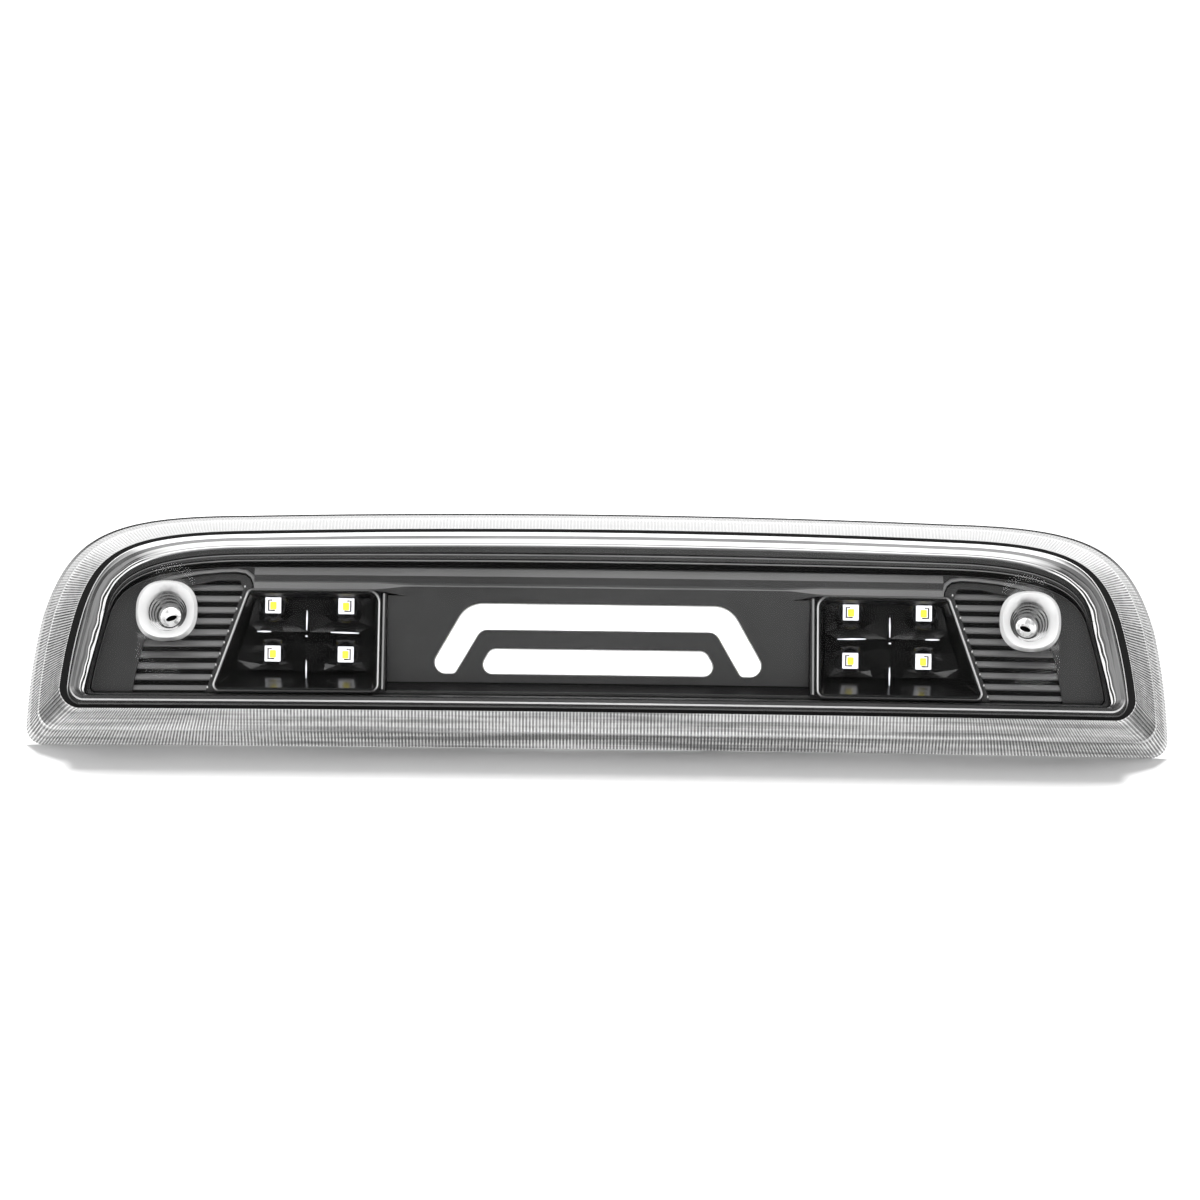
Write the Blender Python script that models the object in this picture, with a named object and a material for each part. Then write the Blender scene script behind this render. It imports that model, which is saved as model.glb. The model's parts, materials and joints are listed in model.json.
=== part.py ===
"""Third brake light with two cargo lights, for the rear of a pickup cab.

The lamp is drawn in its own upright frame and in millimetres: X to the right, Z up along the lens,
-Y out of the lens, and Y = 0 on the cab panel that it is screwed to. The panel is bowed, so its
ends lie further back than its middle. One empty then leans the whole lamp back by RAKE, the way
it sits on the cab. The origin is the centre of the flat stop pad on the housing's back.
"""
import math

import bmesh
import bpy
from mathutils import Vector

# ------------------------------------------------------------------ driving dimensions, mm
MM = 0.001
RAKE = math.radians(25.0)          # lean of the cab's rear face
BOW = 5.0                          # how far the panel falls back at BOW_AT from the middle
BOW_AT = 171.0
GAP = 0.3                          # clearance between neighbouring pieces

# Depths, measured along Y from the bowed panel.
FACE_DEPTH = -24.5                 # front of the clear lens
SEAL_DEPTH = -15.0                 # foot of the dome, where the skirt begins
FOLD_DEPTH = -9.0                  # crease between the skirt's two bands
RIM_DEPTH = -1.0                   # free edge of the skirt
BEZEL_DEPTH = -20.5                # front of the inner bezel
FLOOR_FRONT = -4.0                 # inside of the housing's floor
FLOOR_BACK = -1.5                  # outside of the housing's floor
FOLD_SHARE = 0.62                  # where the crease lies between seal line and rim
LENS_WALL = 2.5
FLANGE_FRONT = -10.4               # housing flange that carries the seal bead
FLANGE_BACK = -8.4
BEZEL_FOOT = -11.0                 # back edge of the bezel's rim wall
GASKET_BACK = 1.5                  # foam gasket before it is squeezed against the cab

# Screw wells at both ends.
WELL_X = 143.0
WELL_SEAT = -3.6                   # seat of the screw head, straight Y
WELL_BACK = -1.2                   # back of the well's bottom, straight Y
SCREW_HOLE = 2.4
WELL_COUNT = 24                    # points round a well
BOSS_RADIUS = 9.5
BOSS_FACE = BOW * (WELL_X / BOW_AT) ** 2

# Centre tray with the two light guides, leaning so that its foot is deeper than its head.
TRAY_TILT = math.radians(15.0)
TRAY_DEPTH = -14.1
TRAY_Z = -7.4
TRAY_HALF = 70.3
TRAY_TOP = 6.4
TRAY_FOOT = -24.4
TRAY_WALL = 1.7
TRAY_FLOOR = 1.5

# Cargo light pockets.
POCKET_TILT = math.radians(8.9)
POCKET_X = 96.4
POCKET_Z = -3.95
POCKET_DEPTH = -9.25 + BOW * (POCKET_X / BOW_AT) ** 2
CARGO_LED_X = 12.2
CARGO_LED_Z = 8.05
LED_SIZE = 5.0
LED_HEIGHT = 0.9
BOARD_THICK = 1.2

# Holes and posts in the housing, as X and Z.
VENT = (-44.0, -12.0)
VENT_RADIUS = 1.5
PATCH_RADIUS = 6.0
GROMMET_HOLE = 5.2
POST_RADIUS = 3.2
POST_BORE = 1.6
POSTS = ((100.0, 15.2), (147.0, -18.0))

# Connector on the pigtail behind the lamp.
GROMMET = (38.0, -10.0)
HARNESS_Y = 14.0
PLUG_X = 88.0
PLUG_LENGTH = 20.0
PLUG_WIDTH = 14.0
PLUG_HEIGHT = 11.0
PLUG_WALL = 1.4
PIN_DEPTH = 9.0                    # how far the pin cavity reaches into the plug
LOCK_START, LOCK_END = 1.0, 9.0    # the position lock at rest
LOCK_STOP = 14.0                   # end of the channel it slides in
SLEEVE_RADIUS = 3.0
SLEEVE_BORE = 2.5
WIRE_RADIUS = 0.8
WIRE_SPREAD = 1.25                 # distance of each wire from the middle of the sleeve

# Points on the outlines.
STRAIGHT_STEPS = 4
SHOULDER_STEPS = 8
SIDE_STEPS = 3
ARC_STEPS = 3
SHOULDER_X = 118.0                 # where the crowned top edge turns into the shoulder

# An outline: height of the top at the middle and at SHOULDER_X, the shoulder's two pulls and end,
# the side's two pulls and end, the radius of the lower corner and the height of the bottom edge.
RIM = {"top": 37.6, "turn": 36.2, "shoulder": ((165.0, 35.8), (178.3, 30.3), (186.5, 0.9)),
       "side": ((188.3, -8.0), (190.1, -20.0), (190.5, -36.0)), "radius": 6.0, "bottom": -42.0}
SEAL = {"top": 29.9, "turn": 28.4, "shoulder": ((158.0, 27.6), (168.0, 22.0), (174.1, 1.7)),
        "side": ((176.3, -6.0), (178.2, -16.0), (178.9, -24.4)), "radius": 7.0, "bottom": -31.4}
FACE = {"top": 26.6, "turn": 25.1, "shoulder": ((154.0, 24.4), (165.5, 18.0), (169.5, 1.2)),
        "side": ((171.2, -7.0), (173.6, -17.0), (174.6, -25.3)), "radius": 5.0, "bottom": -30.3}
BEZEL = {"top": 22.95, "turn": 21.6, "shoulder": ((150.0, 21.0), (162.0, 14.0), (163.6, 0.8)),
         "side": ((165.0, -8.0), (168.3, -18.0), (169.6, -26.5)), "radius": 2.2, "bottom": -27.7}


# ------------------------------------------------------------------ outlines
def bow(x):
    """How far the bowed panel lies behind its middle at x."""
    return BOW * (x / BOW_AT) ** 2


def bezier(start, pull_a, pull_b, end, steps):
    """Points of a cubic curve after its start."""
    points = []
    for step in range(1, steps + 1):
        t = step / steps
        a, b, c, d = (1 - t) ** 3, 3 * t * (1 - t) ** 2, 3 * t * t * (1 - t), t ** 3
        points.append((a * start[0] + b * pull_a[0] + c * pull_b[0] + d * end[0],
                       a * start[1] + b * pull_a[1] + c * pull_b[1] + d * end[1]))
    return points


def outline(spec):
    """Closed outline, clockwise from the middle of the top, with every top point over a bottom one."""
    top = []
    for step in range(STRAIGHT_STEPS + 1):
        x = SHOULDER_X * step / STRAIGHT_STEPS
        top.append((x, spec["top"] - (spec["top"] - spec["turn"]) * (x / SHOULDER_X) ** 2))
    top += bezier(top[-1], *spec["shoulder"], SHOULDER_STEPS)
    side = bezier(top[-1], *spec["side"], SIDE_STEPS)
    corner_x, corner_z = side[-1]
    radius = spec["radius"]
    drop = corner_z - spec["bottom"]
    for step in range(1, ARC_STEPS):
        angle = math.pi / 2 * step / ARC_STEPS
        side.append((corner_x - radius * (1 - math.cos(angle)), corner_z - drop * math.sin(angle)))
    foot_x = corner_x - radius
    bottom = [(x * foot_x / top[-1][0], spec["bottom"]) for x, _ in top]
    right = top + side + bottom[::-1]
    left = [(-x, z) for x, z in right[-2:0:-1]]
    return right + left


TOP_COUNT = STRAIGHT_STEPS + SHOULDER_STEPS
SIDE_COUNT = SIDE_STEPS + ARC_STEPS - 1
HALF_COUNT = 2 * TOP_COUNT + SIDE_COUNT + 2
RING_COUNT = 2 * HALF_COUNT - 2


def inset(points, distance):
    """The closed clockwise outline moved inwards by a distance."""
    moved = []
    for index, (x, z) in enumerate(points):
        before = points[index - 1]
        after = points[(index + 1) % len(points)]
        first = Vector((z - before[1], before[0] - x)).normalized()
        second = Vector((after[1] - z, x - after[0])).normalized()
        middle = (first + second).normalized()
        reach = distance / max(middle.dot(first), 0.5)
        moved.append((x + middle.x * reach, z + middle.y * reach))
    return moved


def between(inner, outer, share):
    """Outline part of the way from one outline to another with as many points."""
    return [(a[0] + (b[0] - a[0]) * share, a[1] + (b[1] - a[1]) * share)
            for a, b in zip(inner, outer)]


def at_depth(points, depth):
    """Outline placed at one depth in front of the bowed panel."""
    return [(x, depth + bow(x), z) for x, z in points]


def circle(x, z, radius, count):
    """Clockwise circle as points in X and Z."""
    return [(x + radius * math.sin(2 * math.pi * step / count),
             z + radius * math.cos(2 * math.pi * step / count)) for step in range(count)]


def rounded(corners, steps):
    """Polygon whose corners, given as x, z, radius, are turned into arcs."""
    points = []
    for index, (x, z, radius) in enumerate(corners):
        here = Vector((x, z))
        before = (Vector(corners[index - 1][:2]) - here).normalized()
        after = (Vector(corners[(index + 1) % len(corners)][:2]) - here).normalized()
        if radius == 0:
            points.append((x, z))
            continue
        half = before.angle(after) / 2
        centre = here + (before + after).normalized() * (radius / math.sin(half))
        start = here + before * (radius / math.tan(half)) - centre
        turn = start.angle_signed(here + after * (radius / math.tan(half)) - centre)
        for step in range(steps + 1):
            angle = -turn * step / steps
            points.append((centre.x + start.x * math.cos(angle) - start.y * math.sin(angle),
                           centre.y + start.x * math.sin(angle) + start.y * math.cos(angle)))
    return points


def mirrored(points, side):
    """Outline for the right side (+1), or mirrored for the left (-1) and still clockwise."""
    return points if side > 0 else [(-x, z) for x, z in points[::-1]]


# ------------------------------------------------------------------ solids
def fill(bm, ring):
    """Close one end of a loft: strips across a lamp outline, one face across anything else."""
    if len(ring) != RING_COUNT:
        bm.faces.new(ring)
        return
    for side in (1, -1):
        def corner(index):
            return ring[index if side > 0 else (RING_COUNT - index) % RING_COUNT]
        for index in range(TOP_COUNT):
            partner = HALF_COUNT - 1 - index
            bm.faces.new((corner(index), corner(index + 1), corner(partner - 1), corner(partner)))
        bm.faces.new([corner(index) for index in range(TOP_COUNT, HALF_COUNT - TOP_COUNT)])


def loft(bm, rings, closed=False):
    """Skin over rings of points; the ends are filled, or joined to each other if closed."""
    rows = [[bm.verts.new(point) for point in ring] for ring in rings]
    pairs = list(zip(rows, rows[1:] + rows[:1]))
    for low, high in pairs if closed else pairs[:-1]:
        for index in range(len(low)):
            after = (index + 1) % len(low)
            bm.faces.new((low[index], low[after], high[after], high[index]))
    if not closed:
        fill(bm, rows[0])
        fill(bm, rows[-1])


def prism(bm, points, front, back):
    """Outline in X and Z, pushed straight along Y."""
    loft(bm, [[(x, y, z) for x, z in points] for y in (front, back)])


def rod(bm, x, z, radius, front, back, count=16):
    """Round bar along Y."""
    prism(bm, circle(x, z, radius, count), front, back)


def turned(bm, x, z, profile, count):
    """Solid turned about an axis along Y from (radius, y) pairs."""
    loft(bm, [[(px, y, pz) for px, pz in circle(x, z, radius, count)] for radius, y in profile])


def block(bm, low, high):
    """Box from its lowest to its highest corner."""
    (x0, y0, z0), (x1, y1, z1) = low, high
    loft(bm, [[(x0, y, z0), (x0, y, z1), (x1, y, z1), (x1, y, z0)] for y in (y0, y1)])


def slab(bm, profile, x0, x1):
    """Outline in Y and Z, pushed along X."""
    loft(bm, [[(x, y, z) for y, z in profile] for x in (x0, x1)])


def tube(bm, path, radius, sides, bore=0.0):
    """Round cable along a path of points; with a bore it is a hose, open at both ends."""
    rings = []
    holes = []
    for index, point in enumerate(path):
        here = Vector(point)
        ahead = Vector(path[min(index + 1, len(path) - 1)]) - Vector(path[max(index - 1, 0)])
        across = ahead.cross(Vector((0.3, 0.1, 1.0))).normalized()
        upward = across.cross(ahead).normalized()
        spokes = [across * math.cos(2 * math.pi * step / sides)
                  + upward * math.sin(2 * math.pi * step / sides) for step in range(sides)]
        rings.append([tuple(here + spoke * radius) for spoke in spokes])
        holes.append([tuple(here + spoke * bore) for spoke in spokes])
    if bore:
        loft(bm, rings + holes[::-1], closed=True)
    else:
        loft(bm, rings)


# ------------------------------------------------------------------ scene objects
def clear_scene():
    for old in list(bpy.data.objects):
        bpy.data.objects.remove(old, do_unlink=True)


def material(name, colour, roughness, metallic=0.0, alpha=1.0):
    made = bpy.data.materials.new(name)
    made.use_nodes = True
    shader = made.node_tree.nodes["Principled BSDF"]
    shader.inputs["Base Color"].default_value = (*colour, 1.0)
    shader.inputs["Roughness"].default_value = roughness
    shader.inputs["Metallic"].default_value = metallic
    shader.inputs["Alpha"].default_value = alpha
    return made


def empty(name, parent=None, location=(0, 0, 0), tilt=0.0):
    """Frame that carries pieces; location in mm, tilt about X in radians."""
    made = bpy.data.objects.new(name, None)
    made.location = Vector(location) * MM
    made.rotation_euler = (tilt, 0, 0)
    made.parent = parent
    bpy.context.collection.objects.link(made)
    return made


def piece(name, bm, finish, parent, origin=(0, 0, 0), smooth=True):
    """Turn a drawn solid into a named object with its origin at a point of its parent's frame."""
    bmesh.ops.recalc_face_normals(bm, faces=bm.faces)
    bmesh.ops.translate(bm, verts=bm.verts, vec=-Vector(origin))
    bmesh.ops.scale(bm, verts=bm.verts, vec=(MM, MM, MM))
    mesh = bpy.data.meshes.new(name)
    bm.to_mesh(mesh)
    bm.free()
    made = bpy.data.objects.new(name, mesh)
    made.location = Vector(origin) * MM
    made.parent = parent
    bpy.context.collection.objects.link(made)
    if smooth:
        mesh.shade_smooth()
        mesh.set_sharp_from_angle(angle=math.radians(32))
    if finish is not None:
        mesh.materials.append(finish)
    return made


def cutter(name, bm, parent):
    """Helper volume for a Boolean, left out of the object."""
    made = piece(name, bm, None, parent, smooth=False)
    made.hide_render = True
    made.display_type = "WIRE"
    return made


def boolean(target, tool, operation):
    step = target.modifiers.new(tool.name, "BOOLEAN")
    step.operation = operation
    step.solver = "EXACT"
    step.object = tool


# ------------------------------------------------------------------ lens, housing and seals
def build_lens(frame, finish):
    """Clear outer lens: crowned face, dome wall, two-band skirt and two screw wells."""
    rim, seal, face = outline(RIM), outline(SEAL), outline(FACE)
    fold = between(seal, rim, FOLD_SHARE)
    bm = bmesh.new()
    loft(bm, [
        at_depth(inset(face, 1.6), FACE_DEPTH),
        at_depth(inset(face, 0.3), FACE_DEPTH + 0.9),
        at_depth(inset(seal, 1.2), SEAL_DEPTH - 0.6),
        at_depth(seal, SEAL_DEPTH),
        at_depth(fold, FOLD_DEPTH),
        at_depth(rim, RIM_DEPTH - 2.0),
        at_depth(rim, RIM_DEPTH),
        at_depth(inset(rim, 2.2), RIM_DEPTH),
        at_depth(inset(fold, 1.6), FOLD_DEPTH + 2.4),
        at_depth(inset(seal, -0.4), SEAL_DEPTH + 2.9),
        at_depth(inset(seal, 2.6), SEAL_DEPTH + 2.9),
        at_depth(inset(face, 2.2), FACE_DEPTH + LENS_WALL),
    ])
    lens = piece("outer_lens", bm, finish, frame)
    cups = bmesh.new()
    bores = bmesh.new()
    opening = FACE_DEPTH + bow(WELL_X)
    for x in (-WELL_X, WELL_X):
        turned(cups, x, 0, [(11.0, opening + 1.4), (9.6, opening + 3.9), (8.2, opening + 9.5),
                            (6.9, WELL_BACK)], WELL_COUNT)
        turned(bores, x, 0, [(9.9, opening - 2.0), (9.6, opening + 0.2), (7.3, opening + 2.4),
                             (6.7, opening + 2.4), (5.9, opening + 9.0), (5.3, opening + 9.0),
                             (4.7, WELL_SEAT), (SCREW_HOLE, WELL_SEAT), (SCREW_HOLE, 1.0)], WELL_COUNT)
    boolean(lens, cutter("well_cups", cups, frame), "UNION")
    boolean(lens, cutter("well_bores", bores, frame), "DIFFERENCE")


def build_housing(frame, finish):
    """Black rear housing: a shallow tray with a flange, screw bosses, stop pad and holes."""
    seal = outline(SEAL)
    bm = bmesh.new()
    loft(bm, [
        at_depth(inset(seal, 3.0), FLOOR_BACK),
        at_depth(inset(seal, 1.6), FLANGE_BACK),
        at_depth(inset(seal, 0.2), FLANGE_BACK),
        at_depth(inset(seal, 0.2), FLANGE_FRONT),
        at_depth(inset(seal, 3.8), FLANGE_FRONT),
        at_depth(inset(seal, 5.4), FLOOR_FRONT),
    ])
    housing = piece("rear_housing", bm, finish, frame)
    pads = bmesh.new()
    for x in (-WELL_X, WELL_X):
        rod(pads, x, 0, BOSS_RADIUS, BOSS_FACE - 2.6, BOSS_FACE, 20)
    block(pads, (-12, FLOOR_BACK - 0.8, -8), (12, 0, 8))
    boolean(housing, cutter("housing_pads", pads, frame), "UNION")
    holes = bmesh.new()
    for x in (-WELL_X, WELL_X):
        rod(holes, x, 0, SCREW_HOLE + 0.4, BOSS_FACE - 8.0, BOSS_FACE + 2.0, 16)
    for x, z in bezel_posts():
        rod(holes, x, z, POST_BORE, -9.0, 4.0, 12)
    rod(holes, *GROMMET, GROMMET_HOLE, -9.0, 4.0, 20)
    rod(holes, *VENT, VENT_RADIUS, -9.0, 4.0, 10)
    boolean(housing, cutter("housing_holes", holes, frame), "DIFFERENCE")


def build_seals(frame, rubber, foam, membrane):
    """Bead under the lens, foam gasket behind the housing, and the breather patch."""
    seal = outline(SEAL)
    bead_back = FLANGE_FRONT - GAP
    bead_front = bead_back - 1.1
    bm = bmesh.new()
    loft(bm, [at_depth(inset(seal, 0.5), bead_front), at_depth(inset(seal, 0.5), bead_back),
              at_depth(inset(seal, 2.9), bead_back), at_depth(inset(seal, 2.9), bead_front)],
         closed=True)
    piece("seal_bead", bm, rubber, frame)
    bm = bmesh.new()
    loft(bm, [at_depth(inset(seal, 3.6), FLOOR_BACK + GAP), at_depth(inset(seal, 3.6), GASKET_BACK),
              at_depth(inset(seal, 9.0), GASKET_BACK), at_depth(inset(seal, 9.0), FLOOR_BACK + GAP)],
         closed=True)
    piece("foam_gasket", bm, foam, frame)
    bm = bmesh.new()
    start = FLOOR_BACK + bow(abs(VENT[0]) + PATCH_RADIUS) + GAP
    rod(bm, *VENT, PATCH_RADIUS, start, start + 0.6, 20)
    piece("vent_patch", bm, membrane, frame)


# ------------------------------------------------------------------ bezel, reflectors and guides
def bezel_posts():
    """Places of the four screws that hold the bezel to the housing."""
    return [(side * x, z) for side in (-1, 1) for x, z in POSTS]


def pocket_outline():
    """Front opening of the right cargo light."""
    return rounded([(73.1, 7.3, 3.5), (116.0, 7.3, 1.5), (127.3, -25.6, 1.5), (73.1, -25.6, 2.0)], 3)


def pocket_floor():
    """Floor of the right cargo light, around its four LEDs; its lower wall leans far out."""
    return rounded([(75.5, 7.0, 2.0), (113.6, 7.0, 1.5), (121.0, -17.5, 1.5), (75.5, -17.5, 2.0)], 3)


def arch_outline():
    """The arch-shaped light guide, in the tray's own X and Z."""
    half = rounded([(0, 11.7, 0), (43.5, 11.7, 9.0), (56.8, -11.5, 3.6), (47.6, -11.5, 1.6),
                    (39.0, 3.3, 4.0), (0, 3.3, 0)], 4)
    return half + [(-x, z) for x, z in half[-2:0:-1]]


def bar_outline():
    """The straight light guide, in the tray's own X and Z."""
    half = rounded([(0, -3.4, 0), (35.6, -3.4, 3.0), (40.3, -11.5, 3.0), (0, -11.5, 0)], 4)
    return half + [(-x, z) for x, z in half[-2:0:-1]]


def guide_shapes():
    """Both light guides without the doubled points on their middle line."""
    shapes = {}
    for name, points in (("light_guide_arch", arch_outline()), ("light_guide_bar", bar_outline())):
        shapes[name] = [point for index, point in enumerate(points)
                        if point != points[index - 1]]
    return shapes


def build_bezel(frame, tray, finish):
    """Black inner bezel: face plate with a rim wall, centre tray, ribbed ends and openings."""
    edge = outline(BEZEL)
    bm = bmesh.new()
    loft(bm, [
        at_depth(inset(edge, 0.9), BEZEL_DEPTH),
        at_depth(edge, BEZEL_DEPTH + 0.9),
        at_depth(edge, BEZEL_FOOT),
        at_depth(inset(edge, 1.9), BEZEL_FOOT),
        at_depth(inset(edge, 1.9), BEZEL_DEPTH + 2.2),
    ])
    bezel = piece("inner_bezel", bm, finish, frame)

    added = bmesh.new()
    low, high = TRAY_FOOT - 2.4, TRAY_TOP + TRAY_WALL
    slope = math.tan(TRAY_TILT)
    back = TRAY_FLOOR / math.cos(TRAY_TILT)

    def floor(z):
        return TRAY_DEPTH - (z - TRAY_Z) * slope
    slab(added, [(BEZEL_DEPTH + 1.6, high), (floor(high) + back, high),
                 (floor(low) + back, low), (BEZEL_DEPTH + 1.6, low)],
         -TRAY_HALF - TRAY_WALL, TRAY_HALF + TRAY_WALL)
    for x, z in bezel_posts():
        rod(added, x, z, POST_RADIUS, BEZEL_DEPTH + bow(x) + 1.2,
            FLOOR_FRONT + bow(abs(x) - POST_RADIUS) - GAP, 12)
    boolean(bezel, cutter("bezel_additions", added, frame), "UNION")

    openings = bmesh.new()
    slab(openings, [(BEZEL_DEPTH - 2, TRAY_TOP), (floor(TRAY_TOP), TRAY_TOP),
                    (floor(TRAY_FOOT), TRAY_FOOT), (BEZEL_DEPTH - 2, TRAY_FOOT)],
         -TRAY_HALF, TRAY_HALF)
    for side in (-1, 1):
        prism(openings, mirrored(pocket_outline(), side), BEZEL_DEPTH - 3, -14.0)
        rod(openings, side * WELL_X, 0, 10.2, BEZEL_DEPTH - 3, -10.0, 24)
    for x, z in bezel_posts():
        rod(openings, x, z, POST_BORE, BEZEL_DEPTH + bow(x) + 5.0, 4.0, 10)
    boolean(bezel, cutter("bezel_openings", openings, frame), "DIFFERENCE")

    grooves = bmesh.new()
    pitch, count, depth = 3.8, 8, 1.3
    for side in (-1, 1):
        for row in range(count):
            middle = 4.0 - row * pitch
            inner = 120.6 - (middle - 4.0) * 0.343
            outer = 151.5 - 0.0045 * (middle + 24.0) ** 2
            surface = BEZEL_DEPTH + bow(inner)
            profile = [(surface - 2.0, middle + 1.2), (surface - 2.0, middle - 1.2),
                       (surface + depth, middle - 0.7), (surface + depth, middle + 0.7)]
            slab(grooves, profile, side * inner, side * outer)
    boolean(bezel, cutter("bezel_grooves", grooves, frame), "DIFFERENCE")

    slots = bmesh.new()
    for points in guide_shapes().values():
        prism(slots, inset(points, -GAP), -1.5, 4.0)
    boolean(bezel, cutter("guide_slots", slots, tray), "DIFFERENCE")


def build_guides(tray, finish):
    """Milky light guides that stand in the tray's slots."""
    for name, points in guide_shapes().items():
        bm = bmesh.new()
        loft(bm, [[(x, -0.4, z) for x, z in inset(points, 0.3)],
                  [(x, -0.1, z) for x, z in points],
                  [(x, 3.2, z) for x, z in points]])
        piece(name, bm, finish, tray)


def build_reflector(frame, pocket, side, name, finish):
    """Glossy tray of one cargo light: slanting walls, four LED windows and a dividing cross."""
    opening = mirrored(pocket_outline(), side)
    base = mirrored(pocket_floor(), side)
    slope = math.tan(POCKET_TILT)

    def tilted(points, lift):
        return [(x, POCKET_DEPTH + lift - (z - POCKET_Z) * slope, z) for x, z in points]
    front = BEZEL_DEPTH + 0.4
    bm = bmesh.new()
    loft(bm, [tilted(inset(base, -1.2), 0.6), at_depth(inset(opening, 0.4), front + 1.5),
              at_depth(inset(opening, 0.4), front), at_depth(inset(opening, 1.3), front),
              tilted(base, -0.5)])
    reflector = piece(name, bm, finish, frame)
    walls = bmesh.new()
    block(walls, (-0.7, -6.0, -14.0), (0.7, 0.2, 10.5))
    boolean(reflector, cutter(name + "_upright", walls, pocket), "UNION")
    walls = bmesh.new()
    block(walls, (-21.0, -4.0, -0.7), (21.0, 0.2, 0.7))
    boolean(reflector, cutter(name + "_crossbar", walls, pocket), "UNION")
    windows = bmesh.new()
    for x, z in cargo_led_places():
        half = LED_SIZE / 2 + 0.25
        block(windows, (x - half, -3.0, z - half), (x + half, 3.0, z + half))
    boolean(reflector, cutter(name + "_windows", windows, pocket), "DIFFERENCE")


# ------------------------------------------------------------------ boards and light sources
def cargo_led_places():
    return [(x, z) for z in (CARGO_LED_Z, -CARGO_LED_Z) for x in (-CARGO_LED_X, CARGO_LED_X)]


def brake_led_places():
    """Six sources behind the arch and four behind the bar, in the tray's frame."""
    arch = [(side * x, z) for side in (-1, 1) for x, z in ((11.0, 7.5), (32.0, 7.5), (48.0, -4.0))]
    bar = [(x, -7.5) for x in (-27.0, -9.0, 9.0, 27.0)]
    return arch + bar


def led(name, parent, finish, place, size, front, height):
    """Square light source with a shallow cup in its face."""
    x, z = place
    half = size / 2
    def square(reach, y):
        return [(x - reach, y, z - reach), (x - reach, y, z + reach),
                (x + reach, y, z + reach), (x + reach, y, z - reach)]
    bm = bmesh.new()
    loft(bm, [square(half, front + height), square(half, front), square(half * 0.66, front),
              square(half * 0.6, front + 0.3)])
    piece(name, bm, finish, parent, origin=(x, front + height, z), smooth=False)


def build_boards(tray, pockets, finishes):
    """Circuit boards with their light sources and the parts that feed them."""
    board, white, ceramic, black = finishes
    front = 4.4
    bm = bmesh.new()
    block(bm, (-56, front, -13.0), (56, front + 1.0, 12.6))
    piece("brake_board", bm, board, tray)
    for number, place in enumerate(brake_led_places(), 1):
        led(f"brake_led_{number}", tray, white, place, 3.5, front - GAP - 0.6, 0.6)
    back = front + 1.0 + GAP
    for name, low, high, finish in (
            ("voltage_regulator", (-8.0, 4.0), (-1.5, 10.0), black),
            ("polarity_diode", (4.0, 5.0), (9.0, 8.0), black),
            ("board_connector", (28.0, 6.0), (48.0, 11.0), white),
            ("dropping_resistor", (-26.0, 5.5), (-19.5, 8.7), ceramic)):
        bm = bmesh.new()
        tall = 4.0 if name == "board_connector" else 1.8
        block(bm, (low[0], back, low[1]), (high[0], back + tall, high[1]))
        piece(name, bm, finish, tray, smooth=False)
    for side, label in ((-1, "left"), (1, "right")):
        pocket = pockets[side]
        bm = bmesh.new()
        block(bm, (-19.5, LED_HEIGHT + GAP, -13.8), (19.5, LED_HEIGHT + GAP + BOARD_THICK, 12.6))
        piece(f"cargo_board_{label}", bm, board, pocket)
        for number, place in enumerate(cargo_led_places(), 1):
            led(f"cargo_led_{label}_{number}", pocket, white, place, LED_SIZE, 0.0, LED_HEIGHT)
        bm = bmesh.new()
        start = LED_HEIGHT + BOARD_THICK + 2 * GAP
        block(bm, (-3.0, start, 8.4), (3.2, start + 0.7, 11.6))
        piece(f"cargo_resistor_{label}", bm, ceramic, pocket, smooth=False)


def build_screws(frame, finish):
    """Four short screws from behind, through the housing into the bezel's posts."""
    for number, (x, z) in enumerate(bezel_posts(), 1):
        seat = FLOOR_BACK + bow(abs(x) + 2.6) + GAP
        bm = bmesh.new()
        turned(bm, x, z, [(1.2, seat - 9.0), (1.3, seat - 8.2), (1.3, seat), (2.6, seat),
                          (2.6, seat + 0.6), (2.0, seat + 1.1), (0.9, seat + 1.1),
                          (0.7, seat + 0.5)], 12)
        piece(f"bezel_screw_{number}", bm, finish, frame, origin=(x, seat, z))


# ------------------------------------------------------------------ pigtail and connector
def harness_path(start, stop, steps):
    """Middle line of the pigtail: out through the grommet, round a bend, then along +X."""
    x0, z0 = GROMMET
    bend = 9.0
    turn_y = HARNESS_Y - bend
    straight = [(x0, start, z0), (x0, (start + turn_y) / 2, z0)]
    curve = [(x0 + bend * (1 - math.cos(math.pi / 2 * step / steps)),
              turn_y + bend * math.sin(math.pi / 2 * step / steps), z0) for step in range(steps + 1)]
    return straight + curve + [(x0 + bend + 12.0, HARNESS_Y, z0), (stop, HARNESS_Y, z0)]


def spread(path, across, upward):
    """The same path moved sideways, for one wire inside the sleeve."""
    moved = []
    for index, point in enumerate(path):
        ahead = Vector(path[min(index + 1, len(path) - 1)]) - Vector(path[max(index - 1, 0)])
        aside = ahead.cross(Vector((0, 0, 1))).normalized()
        moved.append(tuple(Vector(point) + aside * across + Vector((0, 0, upward))))
    return moved


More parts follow.
